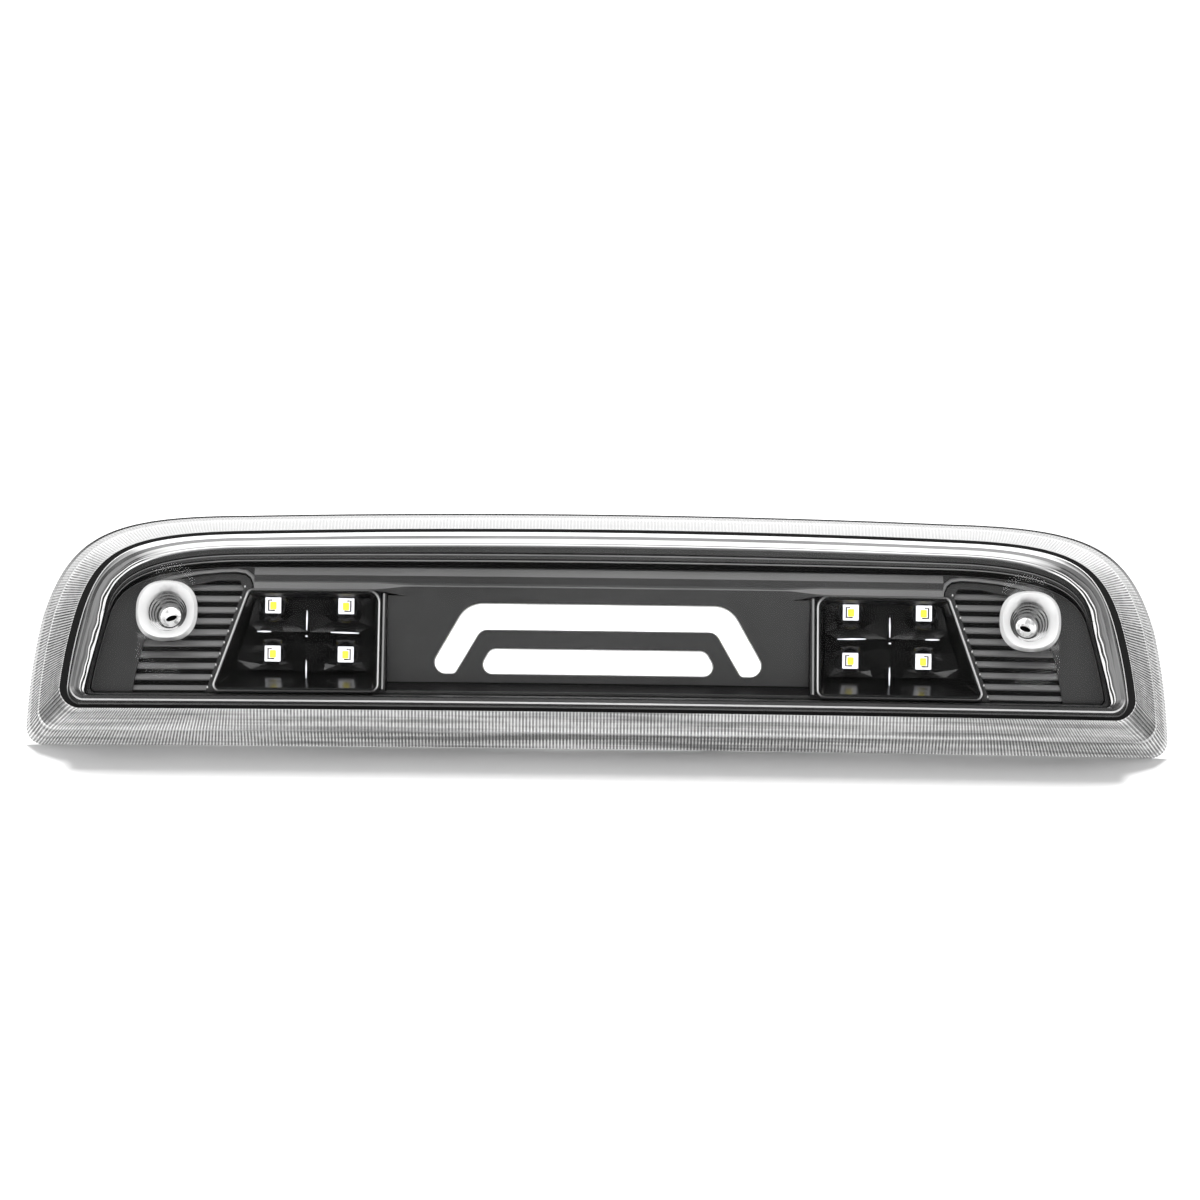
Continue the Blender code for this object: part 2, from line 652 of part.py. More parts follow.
def build_harness(frame, finishes):
    """Grommet, sleeve, three supply wires and the two leads to the cargo boards."""
    rubber, braid, wire_red, wire_white, wire_black = finishes
    x0, z0 = GROMMET
    near = FLOOR_BACK + bow(x0 + 7.5) + GAP
    bm = bmesh.new()
    loft(bm, [[(px, y, pz) for px, pz in circle(x0, z0, radius, 16)] for radius, y in (
        (4.8, FLOOR_FRONT + 0.4), (4.8, near), (7.4, near), (7.0, near + 1.8), (4.6, near + 4.0),
        (3.3, near + 4.0), (3.3, FLOOR_FRONT + 0.4))], closed=True)
    piece("cable_grommet", bm, rubber, frame)
    bm = bmesh.new()
    tube(bm, harness_path(-3.4, PLUG_X - 14.0, 5), SLEEVE_RADIUS, 12, bore=SLEEVE_BORE)
    piece("harness_sleeve", bm, braid, frame)
    inside = harness_path(-4.9, PLUG_X + 2.5, 5)
    for name, finish, turn, socket in (("brake_feed_wire", wire_red, 90, 0.0),
                                       ("cargo_feed_wire", wire_white, 210, -7.0),
                                       ("ground_wire", wire_black, 330, 7.0)):
        angle = math.radians(turn)
        path = spread(inside, WIRE_SPREAD * math.cos(angle), WIRE_SPREAD * math.sin(angle))
        lead = [(x0 + socket, -6.3, 3.6), (x0 + socket, -5.0, 2.4), (x0 + socket, -4.9, -7.0)]
        bm = bmesh.new()
        tube(bm, lead + path, WIRE_RADIUS, 8)
        piece(name, bm, finish, frame)
    for side, label in ((-1, "left"), (1, "right")):
        bm = bmesh.new()
        tube(bm, [(side * x, y, z) for x, y, z in (
            (28.0, -9.2, 11.5), (50.0, -8.6, 13.0), (66.0, -8.0, 13.2), (80.0, -6.4, 12.0),
            (90.0, -4.6, 9.5))], WIRE_RADIUS, 8)
        piece(f"cargo_lead_{label}", bm, wire_white, frame)


def build_connector(plug, finishes):
    """Plug at the end of the pigtail, its three pins and the sliding position lock."""
    black, metal, accent = finishes
    half_w, half_h = PLUG_WIDTH / 2, PLUG_HEIGHT / 2
    bm = bmesh.new()
    block(bm, (0, -half_h, -half_w), (PLUG_LENGTH, half_h, half_w))
    edges = [edge for edge in bm.edges if abs((edge.verts[0].co - edge.verts[1].co).x) > 1]
    bmesh.ops.bevel(bm, geom=edges, offset=1.2, segments=2, affect="EDGES", clamp_overlap=True)
    body = piece("connector_housing", bm, black, plug)
    holes = bmesh.new()
    block(holes, (PLUG_LENGTH - PIN_DEPTH, -half_h + PLUG_WALL, -half_w + PLUG_WALL),
          (PLUG_LENGTH + 2.0, half_h - 4.2, half_w - PLUG_WALL))
    slot = [(half_h - 2.8, -4.3), (half_h - 1.3, -4.3), (half_h - 1.3, -3.0), (half_h + 1.0, -3.0),
            (half_h + 1.0, 3.0), (half_h - 1.3, 3.0), (half_h - 1.3, 4.3), (half_h - 2.8, 4.3)]
    slab(holes, slot, -1.0, LOCK_STOP)
    boolean(body, cutter("connector_cavities", holes, plug), "DIFFERENCE")
    rear = bmesh.new()
    block(rear, (-1.0, -2.4, -3.0), (4.0, 2.2, 3.0))
    boolean(body, cutter("connector_wire_entry", rear, plug), "DIFFERENCE")
    for index in range(3):
        z = -3.6 + 3.6 * index
        bm = bmesh.new()
        block(bm, (PLUG_LENGTH - PIN_DEPTH + GAP, -1.5, z - 0.4),
              (PLUG_LENGTH - 1.5, -0.7, z + 0.4))
        piece(f"connector_pin_{index + 1}", bm, metal, plug, smooth=False)
    bm = bmesh.new()
    base = half_h - 2.8 + GAP
    lock = [(base, -4.0), (base + 0.9, -4.0), (base + 0.9, -2.7), (half_h + 0.6, -2.7),
            (half_h + 0.6, 2.7), (base + 0.9, 2.7), (base + 0.9, 4.0), (base, 4.0)]
    slab(bm, lock, LOCK_START, LOCK_END)
    piece("connector_lock", bm, accent, plug, origin=(LOCK_START, base, 0.0), smooth=False)


# ------------------------------------------------------------------ assembly
def build():
    clear_scene()
    clear = material("clear_polycarbonate", (0.95, 0.96, 0.97), 0.03, alpha=0.35)
    satin = material("satin_black_plastic", (0.035, 0.035, 0.037), 0.42)
    gloss = material("gloss_black_reflector", (0.012, 0.012, 0.013), 0.06)
    milky = material("milky_diffuser", (0.92, 0.92, 0.92), 0.4)
    housing = material("housing_black_plastic", (0.02, 0.02, 0.021), 0.55)
    rubber = material("black_rubber", (0.015, 0.015, 0.016), 0.75)
    foam = material("grey_foam", (0.05, 0.05, 0.052), 0.95)
    membrane = material("white_membrane", (0.8, 0.8, 0.78), 0.8)
    board = material("white_board", (0.75, 0.76, 0.74), 0.5)
    white = material("led_package", (0.85, 0.85, 0.83), 0.45)
    ceramic = material("chip_ceramic", (0.08, 0.08, 0.085), 0.5)
    steel = material("zinc_steel", (0.6, 0.6, 0.58), 0.35, metallic=1.0)
    tin = material("tinned_brass", (0.75, 0.7, 0.6), 0.3, metallic=1.0)
    braid = material("woven_sleeve", (0.03, 0.03, 0.03), 0.9)
    red = material("red_insulation", (0.45, 0.02, 0.02), 0.5)
    pale = material("white_insulation", (0.75, 0.75, 0.73), 0.5)
    dark = material("black_insulation", (0.02, 0.02, 0.02), 0.5)
    accent = material("lock_plastic", (0.55, 0.05, 0.04), 0.45)

    frame = empty("lamp_frame", tilt=-RAKE)
    tray = empty("tray_frame", frame, (0, TRAY_DEPTH, TRAY_Z), TRAY_TILT)
    pockets = {side: empty(f"pocket_frame_{label}", frame,
                           (side * POCKET_X, POCKET_DEPTH, POCKET_Z), POCKET_TILT)
               for side, label in ((-1, "left"), (1, "right"))}
    plug = empty("plug_frame", frame, (PLUG_X, HARNESS_Y, GROMMET[1]))

    build_lens(frame, clear)
    build_housing(frame, housing)
    build_seals(frame, rubber, foam, membrane)
    build_bezel(frame, tray, satin)
    build_guides(tray, milky)
    build_reflector(frame, pockets[-1], -1, "reflector_left", gloss)
    build_reflector(frame, pockets[1], 1, "reflector_right", gloss)
    build_boards(tray, pockets, (board, white, ceramic, housing))
    build_screws(frame, steel)
    build_harness(frame, (rubber, braid, red, pale, dark))
    build_connector(plug, (housing, tin, accent))


build()
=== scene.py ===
"""Looks of the third brake light: clear fluted lens, satin bezel, gloss pockets and milky guides.

Everything is drawn in the lamp's own frame in millimetres (X right, Z up along the lens, -Y out of
the lens, Y = 0 on the cab panel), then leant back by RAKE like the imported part.
"""
import json
import math

import bmesh
import bpy
import numpy as np
from mathutils import Matrix, Vector

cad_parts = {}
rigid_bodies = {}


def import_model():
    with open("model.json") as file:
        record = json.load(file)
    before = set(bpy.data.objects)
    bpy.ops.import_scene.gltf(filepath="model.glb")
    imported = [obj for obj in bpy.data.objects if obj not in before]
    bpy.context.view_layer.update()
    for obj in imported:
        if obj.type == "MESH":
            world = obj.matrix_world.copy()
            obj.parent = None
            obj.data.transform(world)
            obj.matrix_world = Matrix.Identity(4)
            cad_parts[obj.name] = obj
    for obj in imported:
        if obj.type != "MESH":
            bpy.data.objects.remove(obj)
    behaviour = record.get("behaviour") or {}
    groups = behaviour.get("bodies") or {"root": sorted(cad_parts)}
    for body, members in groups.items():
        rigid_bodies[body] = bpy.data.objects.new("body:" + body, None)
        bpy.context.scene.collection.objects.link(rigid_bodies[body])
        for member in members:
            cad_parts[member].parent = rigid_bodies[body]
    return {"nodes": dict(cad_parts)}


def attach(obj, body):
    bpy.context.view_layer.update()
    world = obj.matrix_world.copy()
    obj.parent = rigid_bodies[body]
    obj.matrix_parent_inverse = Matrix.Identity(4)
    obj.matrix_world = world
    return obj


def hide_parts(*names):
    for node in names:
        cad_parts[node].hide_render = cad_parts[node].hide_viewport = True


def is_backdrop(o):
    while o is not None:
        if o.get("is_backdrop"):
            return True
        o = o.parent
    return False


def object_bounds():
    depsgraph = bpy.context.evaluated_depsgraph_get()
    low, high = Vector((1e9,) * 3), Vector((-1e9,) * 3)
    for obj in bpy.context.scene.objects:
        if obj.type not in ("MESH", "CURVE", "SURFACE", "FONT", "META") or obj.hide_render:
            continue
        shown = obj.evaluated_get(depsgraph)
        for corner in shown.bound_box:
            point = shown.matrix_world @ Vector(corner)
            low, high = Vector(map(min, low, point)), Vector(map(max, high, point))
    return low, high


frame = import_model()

cad_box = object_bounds()

# ------------------------------------------------------------------ dimensions, mm
MM = 0.001
RAKE = math.radians(25.0)
BOW = 5.0                          # the panel falls back by this much ...
BOW_AT = 171.0                     # ... at this distance from its middle

FACE_DEPTH = -24.5                 # depths lie along Y, from the bowed panel
SEAL_DEPTH = -15.0
FOLD_DEPTH = -9.0
FOLD_SHARE = 0.62                  # place of the skirt's fold between the seal and the rim
RIM_DEPTH = -1.0
EDGE_DEPTH = -20.5                 # front edge of the bezel
PLATE_DEPTH = -16.5                # the bezel's flat surface behind its brow

WELL_X = 143.0
WELL_BORE = 9.5                    # radius of the hole in the front that takes a screw well
WELL_SEAT = -3.6

TRAY_TILT = math.radians(15.0)
TRAY_DEPTH = -14.1
TRAY_Z = -7.4
TRAY_HALF = 70.3

POCKET_TILT = math.radians(8.9)
POCKET_X = 96.4
POCKET_Z = -3.95
CARGO_LED_X = 12.2
CARGO_LED_Z = 8.05

CUT_REACH = (-30.0, 5.0)           # depths between which a cutter runs through the bezel

FLUTE_PITCH = 1.12
SHOULDER_X = 118.0                 # where the top starts to turn down

# half outlines: height in the middle and where the shoulder starts, pull points of the shoulder
# and of the side, then the radius of the lower corner and the height of the foot
RIM = {"top": 37.6, "turn": 36.2, "shoulder": ((165.0, 35.8), (178.9, 30.3), (187.3, 0.9)),
       "side": ((189.2, -8.0), (191.1, -20.0), (191.5, -36.0)), "radius": 6.0, "bottom": -42.0}
SEAL = {"top": 29.9, "turn": 28.4, "shoulder": ((158.0, 27.6), (168.0, 22.0), (174.1, 1.7)),
        "side": ((176.3, -6.0), (178.2, -16.0), (178.9, -24.4)), "radius": 7.0, "bottom": -31.4}
FACE = {"top": 26.6, "turn": 25.1, "shoulder": ((154.0, 24.4), (165.5, 18.0), (169.5, 1.2)),
        "side": ((171.2, -7.0), (173.6, -17.0), (174.6, -25.3)), "radius": 5.0, "bottom": -30.3}
EDGE = {"top": 22.95, "turn": 21.6, "shoulder": ((150.0, 21.0), (162.0, 14.0), (163.6, 0.8)),
        "side": ((165.0, -8.0), (168.3, -18.0), (169.6, -26.0)), "radius": 1.8, "bottom": -27.8}
BROW = {"top": 16.4, "turn": 16.2, "shoulder": ((150.0, 15.6), (159.5, 10.0), (162.6, 0.2)),
        "side": ((164.6, -7.0), (167.2, -17.0), (168.2, -24.6)), "radius": 1.6, "bottom": -26.4}

CRISP = 32.0                       # degrees; edges that turn further stay crisp

STRAIGHT_STEPS, SHOULDER_STEPS, SIDE_STEPS, ARC_STEPS = 20, 28, 12, 8
TOP_COUNT = STRAIGHT_STEPS + SHOULDER_STEPS
LAMP_COUNT = 2 * (2 * TOP_COUNT + SIDE_STEPS + ARC_STEPS)     # points in a plain outline


def bow(x):
    """How far the bowed panel lies behind its middle at x."""
    return BOW * (x / BOW_AT) ** 2


# ------------------------------------------------------------------ outlines
def bezier(start, pull_a, pull_b, end, steps):
    """Points of a cubic curve after its start."""
    points = []
    for step in range(1, steps + 1):
        t = step / steps
        a, b, c, d = (1 - t) ** 3, 3 * t * (1 - t) ** 2, 3 * t * t * (1 - t), t ** 3
        points.append((a * start[0] + b * pull_a[0] + c * pull_b[0] + d * end[0],
                       a * start[1] + b * pull_a[1] + c * pull_b[1] + d * end[1]))
    return points


def outline(spec, fine=1):
    """Closed clockwise outline from the middle of the top; fine multiplies its points."""
    straight, arc = STRAIGHT_STEPS * fine, ARC_STEPS * fine
    top = []
    for step in range(straight + 1):
        x = SHOULDER_X * step / straight
        top.append((x, spec["top"] - (spec["top"] - spec["turn"]) * (x / SHOULDER_X) ** 2))
    top += bezier(top[-1], *spec["shoulder"], SHOULDER_STEPS * fine)
    side = bezier(top[-1], *spec["side"], SIDE_STEPS * fine)
    corner_x, corner_z = side[-1]
    drop = corner_z - spec["bottom"]
    for step in range(1, arc):
        angle = math.pi / 2 * step / arc
        side.append((corner_x - spec["radius"] * (1 - math.cos(angle)),
                     corner_z - drop * math.sin(angle)))
    foot_x = corner_x - spec["radius"]
    bottom = [(x * foot_x / top[-1][0], spec["bottom"]) for x, _ in top]
    right = top + side + bottom[::-1]
    return np.array(right + [(-x, z) for x, z in right[-2:0:-1]])


def outward(points):
    """Unit normals of a closed clockwise outline, pointing out of it."""
    along = np.roll(points, -1, 0) - np.roll(points, 1, 0)
    normal = np.stack([-along[:, 1], along[:, 0]], 1)
    return normal / np.linalg.norm(normal, axis=1)[:, None]


def inset(points, distance):
    """The closed clockwise outline moved inwards; distance is a number or one per point."""
    return points - outward(points) * np.reshape(distance, (-1, 1))


def at_depth(points, depth):
    """Outline placed in front of the bowed panel; depth is a number or one per point."""
    return np.stack([points[:, 0], bow(points[:, 0]) + depth, points[:, 1]], 1)


def circle(x, z, radius, count):
    """Clockwise circle as points in X and Z."""
    angle = 2 * np.pi * np.arange(count) / count
    return np.stack([x + radius * np.sin(angle), z + radius * np.cos(angle)], 1)


def rounded(corners, steps):
    """Polygon whose corners, given as x, z, radius, are turned into arcs."""
    points = []
    for index, (x, z, radius) in enumerate(corners):
        here = Vector((x, z))
        before = (Vector(corners[index - 1][:2]) - here).normalized()
        after = (Vector(corners[(index + 1) % len(corners)][:2]) - here).normalized()
        if radius == 0:
            points.append((x, z))
            continue
        half = before.angle(after) / 2
        centre = here + (before + after).normalized() * (radius / math.sin(half))
        start = here + before * (radius / math.tan(half)) - centre
        turn = start.angle_signed(here + after * (radius / math.tan(half)) - centre)
        for step in range(steps + 1):
            angle = -turn * step / steps
            points.append((centre.x + start.x * math.cos(angle) - start.y * math.sin(angle),
                           centre.y + start.x * math.sin(angle) + start.y * math.cos(angle)))
    return np.array(points)


def mirrored(points, side):
    """Outline for the right side (+1), or mirrored for the left (-1) and still clockwise."""
    return points if side > 0 else points[::-1] * np.array([-1.0, 1.0])


# ------------------------------------------------------------------ meshes
def piece(name, bm, finishes, sharp=CRISP):
    """Turn a drawn solid into an object that leans back with the lamp; sharp 0 leaves it flat."""
    bmesh.ops.recalc_face_normals(bm, faces=bm.faces)
    bmesh.ops.scale(bm, verts=bm.verts, vec=(MM, MM, MM))
    mesh = bpy.data.meshes.new(name)
    bm.to_mesh(mesh)
    bm.free()
    made = bpy.data.objects.new(name, mesh)
    made.rotation_euler = (-RAKE, 0, 0)
    bpy.context.scene.collection.objects.link(made)
    for finish in finishes:
        mesh.materials.append(finish)
    if sharp:
        mesh.shade_smooth()
        mesh.set_sharp_from_angle(angle=math.radians(sharp))
    return made


def settled(made, node):
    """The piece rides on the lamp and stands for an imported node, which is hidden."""
    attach(made, "lamp")
    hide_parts(node)


def show(name, bm, finishes, node, sharp=CRISP):
    """Make a piece and settle it on the lamp."""
    settled(piece(name, bm, finishes, sharp), node)


def cut(target, bm, operation="DIFFERENCE", sharp=0.0):
    """Boolean step with a drawn solid, applied, after which the solid is gone."""
    tool = piece("tool", bm, [], sharp)
    step = target.modifiers.new("cut", "BOOLEAN")
    step.operation = operation
    step.solver = "EXACT"
    step.object = tool
    bpy.context.view_layer.update()
    mesh = bpy.data.meshes.new_from_object(
        target.evaluated_get(bpy.context.evaluated_depsgraph_get()))
    target.modifiers.remove(step)
    target.data = mesh
    bpy.data.objects.remove(tool)


def rows_of(bm, rings):
    return [[bm.verts.new(point) for point in ring] for ring in rings]


def skin(bm, rows, closed=False, slots=None, sides=None):
    """Faces between rings of vertices, with a material slot per band or per side of a ring."""
    pairs = list(zip(rows, rows[1:] + rows[:1]))
    for band, (low, high) in enumerate(pairs if closed else pairs[:-1]):
        count = len(low)
        for index in range(count):
            after = (index + 1) % count
            face = bm.faces.new((low[index], low[after], high[after], high[index]))
            if slots:
                face.material_index = slots[band]
            if sides:
                face.material_index = sides[index]


def loft(rings, closed=False, slots=None, sides=None):
    """Solid through matching rings of points, filled at its ends or closed on itself."""
    bm = bmesh.new()
    rows = rows_of(bm, rings)
    skin(bm, rows, closed, slots, sides)
    if not closed:
        bm.faces.new(rows[0])
        bm.faces.new(rows[-1])
    return bm


def cap(bm, row):
    """Close a lamp outline with strips from its top to its bottom, so that it follows the bow."""
    count = len(row)
    half = count // 2 + 1
    tops = TOP_COUNT * (count // LAMP_COUNT)
    for side in (1, -1):
        def corner(index):
            return row[index if side > 0 else (count - index) % count]
        for index in range(tops):
            partner = half - 1 - index
            bm.faces.new((corner(index), corner(index + 1), corner(partner - 1), corner(partner)))
        bm.faces.new([corner(index) for index in range(tops, half - tops)])


def capped(rings, slots=None):
    """Solid through rings that go round the whole lamp, with caps that follow the bow."""
    bm = bmesh.new()
    rows = rows_of(bm, rings)
    skin(bm, rows, slots=slots)
    cap(bm, rows[0])
    cap(bm, rows[-1])
    return bm


def upright(points, y):
    """Points in X and Z placed at one depth."""
    return [(x, y, z) for x, z in points]


def turned(x, z, profile, count, closed=False):
    """Solid turned about an axis along Y from (radius, y) pairs."""
    return loft([upright(circle(x, z, radius, count), y) for radius, y in profile], closed)


def prism(points, front, back):
    """Straight solid between two depths."""
    return loft([upright(points, front), upright(points, back)])


def oblong(left, right, top, foot):
    """Clockwise rectangle in X and Z."""
    return [(left, foot), (left, top), (right, top), (right, foot)]


# ------------------------------------------------------------------ material nodes
def grey(level):
    return (level, level, level, 1.0)


class Nodes:
    """Short way to build the node tree of a material, or of the world."""

    def __init__(self, name, world=None):
        self.owner = world or bpy.data.materials.new(name)
        self.owner.use_nodes = True
        self.tree = self.owner.node_tree
        self.tree.nodes.clear()
        self.out = self.add("OutputWorld" if world else "OutputMaterial")

    def add(self, kind, settings=None, **inputs):
        made = self.tree.nodes.new("ShaderNode" + kind)
        for key, value in (settings or {}).items():
            setattr(made, key, value)
        for key, value in inputs.items():
            self.put(made.inputs[key.replace("_", " ")], value)
        return made

    def put(self, socket, value):
        if isinstance(value, bpy.types.NodeSocket):
            self.tree.links.new(value, socket)
        else:
            socket.default_value = value

    def value(self, operation, *numbers):
        made = self.add("Math", {"operation": operation})
        for index, number in enumerate(numbers):
            self.put(made.inputs[index], number)
        return made.outputs[0]

    def times(self, first, second):
        return self.value("MULTIPLY", first, second)

    def plus(self, first, second):
        return self.value("ADD", first, second)

    def minus(self, first, second):
        return self.value("SUBTRACT", first, second)

    def stored(self, name):
        """Number stored on the mesh's vertices under this name."""
        return self.add("Attribute", {"attribute_name": name}).outputs["Fac"]

    def place(self):
        """Place on the object, in its own axes."""
        return self.add("TexCoord").outputs["Object"]

    def noise(self, scale, detail=4.0, stretch=(1, 1, 1)):
        placed = self.add("Mapping", Vector=self.place(), Scale=stretch).outputs[0]
        return self.add("TexNoise", Vector=placed, Scale=scale, Detail=detail).outputs["Fac"]

    def ramp(self, fac, *stops):
        made = self.add("ValToRGB", Fac=fac)
        elements = made.color_ramp.elements
        while len(elements) < len(stops):
            elements.new(0.5)
        for element, (place, level) in zip(elements, stops):
            element.position = place
            element.color = grey(level) if isinstance(level, float) else (*level, 1)
        return made.outputs[0]

    def bump(self, height, strength, distance):
        return self.add("Bump", Height=height, Strength=strength, Distance=distance).outputs[0]

    def shade(self, level):
        """Grey colour of a computed level."""
        return self.add("CombineColor", Red=level, Green=level, Blue=level).outputs[0]

    def mix(self, fac, low, high):
        made = self.add("MixShader", Fac=fac)
        self.tree.links.new(low.outputs[0], made.inputs[1])
        self.tree.links.new(high.outputs[0], made.inputs[2])
        return made

    def end(self, shader):
        self.tree.links.new(shader.outputs[0], self.out.inputs["Surface"])
        return self.owner

    def solid(self, **inputs):
        """Finish the material as one principled surface."""
        return self.end(self.add("BsdfPrincipled", **inputs))


def moulded(name, level, rough, grain=1500.0, depth=0.00002, strength=0.35, tint=(1, 1, 1),
            shine=0.3):
    """Moulded plastic or rubber: fine grain, patchy sheen and slight colour variation."""
    n = Nodes(name)
    fine = n.noise(grain, 3.0)
    broad = n.noise(18.0, 4.0)
    low, high = (tuple(level * share * part for part in tint) for share in (0.82, 1.18))
    colour = n.ramp(broad, (0.3, low), (0.7, high))
    roughness = n.plus(n.times(broad, 0.16), rough - 0.08)
    return n.solid(Base_Color=colour, Roughness=roughness,
                   Normal=n.bump(fine, strength, depth),
                   Specular_IOR_Level=shine)


# ------------------------------------------------------------------ finishes of the lens
def lamp_normal(n):
    """Surface normal in the lamp's own axes, split into X, Y and Z."""
    shape = n.add("NewGeometry")
    local = n.add("VectorTransform", {"vector_type": "NORMAL", "convert_from": "WORLD",
                                      "convert_to": "OBJECT"}, Vector=shape.outputs["Normal"])
    return n.add("SeparateXYZ", Vector=local.outputs[0]).outputs


def outline_up(n):
    """How far the outline at this place faces up the lamp, from 0 (down) to 1 (up)."""
    return n.stored("up")


def facing_up(n):
    """How far a sloping surface faces up the lamp, from 0 (down) to 1 (up), whatever its tilt."""
    x, _, z = lamp_normal(n)
    spread = n.value("SQRT", n.plus(n.times(x, x), n.plus(n.times(z, z), 0.0001)))
    return n.value("MULTIPLY_ADD", n.value("DIVIDE", z, spread), 0.5, 0.5)


def clear_with_painted_light(n, level, gloss, rough, through, glow=0.0):
    """Clear plastic with painted light: see-through, a body whose grey is painted light and shade, a
    mirror, and an emission that paints a glow for light led inside.
    """
    body = n.mix(0.35, n.add("BsdfDiffuse", Color=level), n.add("BsdfTranslucent", Color=level))
    casting = n.add("LightPath").outputs["Is Shadow Ray"]
    see = n.times(n.minus(1.0, casting), through)
    # painted glow: emission mixed into the body
    body = n.mix(glow, body, n.add("Emission", Color=level))
    seen = n.mix(see, body, n.add("BsdfTransparent", Color=grey(0.98)))
    mirror = n.add("BsdfGlossy", Color=grey(0.9), Roughness=rough)
    return n.end(n.mix(gloss, seen, mirror))


def drawn_out(n, across, along_x, along_z, settings):
    """Noise drawn out along the outline, with its own density across it and along it."""
    share = n.stored("across")
    x, _, z = n.add("SeparateXYZ", Vector=n.place()).outputs
    place = n.add("CombineXYZ", X=n.times(share, across), Y=n.times(x, along_x),
                  Z=n.times(z, along_z)).outputs[0]
    return n.add("TexNoise", Vector=place, Scale=1.0, **settings).outputs["Fac"]


def face_finish():
    """Flat front of the lens: see-through with a faint mirror and fine waviness."""
    n = Nodes("lens_face_clear")
    wave = n.noise(45.0, 2.0, (0.4, 1, 1))
    normal = n.bump(wave, 0.2, 0.0002)
    graze = n.add("Fresnel", IOR=1.5, Normal=normal).outputs[0]
    mirror = n.times(graze, n.ramp(wave, (0.3, 0.08), (0.7, 0.16)))
    return n.end(n.mix(mirror, n.add("BsdfTransparent", Color=grey(0.98)),
                       n.add("BsdfGlossy", Roughness=0.04, Normal=normal)))


def shoulder_finish(name, stops, streaks, through):
    """Rounded shoulder of the lens in painted light and shade: white above, grey at the ends, dark
    below, by where the outline faces, with painted streaks of reflection.
    """
    n = Nodes(name)
    up = outline_up(n)
    # painted reflection streaks, drawn out along the outline
    streak = drawn_out(n, streaks, 9.0, 14.0, {"Detail": 3.0, "Distortion": 0.6})
    strength = n.ramp(up, (0.0, 0.02), (0.35, 0.08), (0.6, 0.12), (0.9, 0.16), (0.97, 0.3),
                      (1.0, 0.1))
    shift = n.times(n.minus(n.ramp(streak, (0.42, 0.0), (0.56, 1.0)), 0.5), strength)
    # painted light and shade: the level follows where the outline faces
    level = n.value("MAXIMUM", n.plus(n.ramp(up, *stops), shift), 0.015)
    return clear_with_painted_light(n, n.shade(level), 0.12, 0.12, through)


def skirt_finish(name, levels, hatch, through, glow=0.0):
    """Fluted skirt in painted light and shade: light above, grey below, with a painted dark line in
    every flute and painted mottled shade towards the foot.
    """
    n = Nodes(name)
    up = outline_up(n)
    flute = n.stored("flute")
    cloud = drawn_out(n, 9.0, 16.0, 16.0, {"Detail": 2.0})
    spots = n.add("TexNoise", Vector=n.place(), Scale=420.0, Detail=2.0).outputs["Fac"]
    # painted shade: a spotted dark line down every flute, as strong as the hatch table says
    deep = n.times(n.ramp(up, *hatch), n.ramp(flute, (0.5, 1.0), (0.72, 0.0)))
    deep = n.times(deep, n.ramp(spots, (0.3, 0.75), (0.6, 1.0)))
    # painted mottled shade, strongest where the outline faces down
    dim = n.times(n.ramp(up, (0.0, 0.8), (0.4, 0.4), (0.9, 0.05)),
                  n.ramp(cloud, (0.42, 0.0), (0.68, 0.8)))
    # painted light and shade: the level follows where the outline faces
    level = n.times(n.ramp(up, *levels), n.minus(1.0, dim))
    level = n.value("MAXIMUM", n.times(level, n.minus(1.0, deep)), 0.012)
    return clear_with_painted_light(n, n.shade(level), 0.10, 0.15, through, glow)


def well_finish():
    """Screw wells in painted light and shade: bright flared mouth, painted dark where the inner walls
    look down.
    """
    n = Nodes("lens_well_clear")
    _, _, z = lamp_normal(n)
    wave = n.noise(130.0, 3.0)
    tone = n.plus(n.times(z, 0.5), n.times(wave, 0.3))
    level = n.ramp(n.plus(tone, 0.36), (0.0, 0.03), (0.09, 0.25), (0.2, 0.75), (1.0, 0.9))
    return clear_with_painted_light(n, level, 0.12, 0.1, 0.2)


def painted_glow_foot():
    """Foot of a screw well, made bright by a painted glow: emission stands for light led through the
    clear plastic.
    """
    n = Nodes("lens_well_foot")
    wave = n.noise(500.0, 2.0)
    shade = n.ramp(wave, (0.35, 0.35), (0.6, 0.9))
    return n.solid(Base_Color=shade, Roughness=0.2, Emission_Color=shade, Emission_Strength=0.5)


# ------------------------------------------------------------------ clear lens
def marking(*names):
    """Empty mesh whose vertices can each carry the named numbers."""
    bm = bmesh.new()
    for name in names:
        bm.verts.layers.float.new(name)
    return bm


def marked(bm, name, rows, values):
    """Store one number per vertex, taken row by row, under a name the finish reads."""
    layer = bm.verts.layers.float[name]
    for row, numbers in zip(rows, values):
        for vertex, number in zip(row, numbers):
            vertex[layer] = number


def seal_reach(points):
    """Width of the black seal line round the lamp: thin along the top, wide at ends and foot."""
    up = np.abs(outward(points)[:, 1])
    return 2.5 - 1.4 * up ** 2


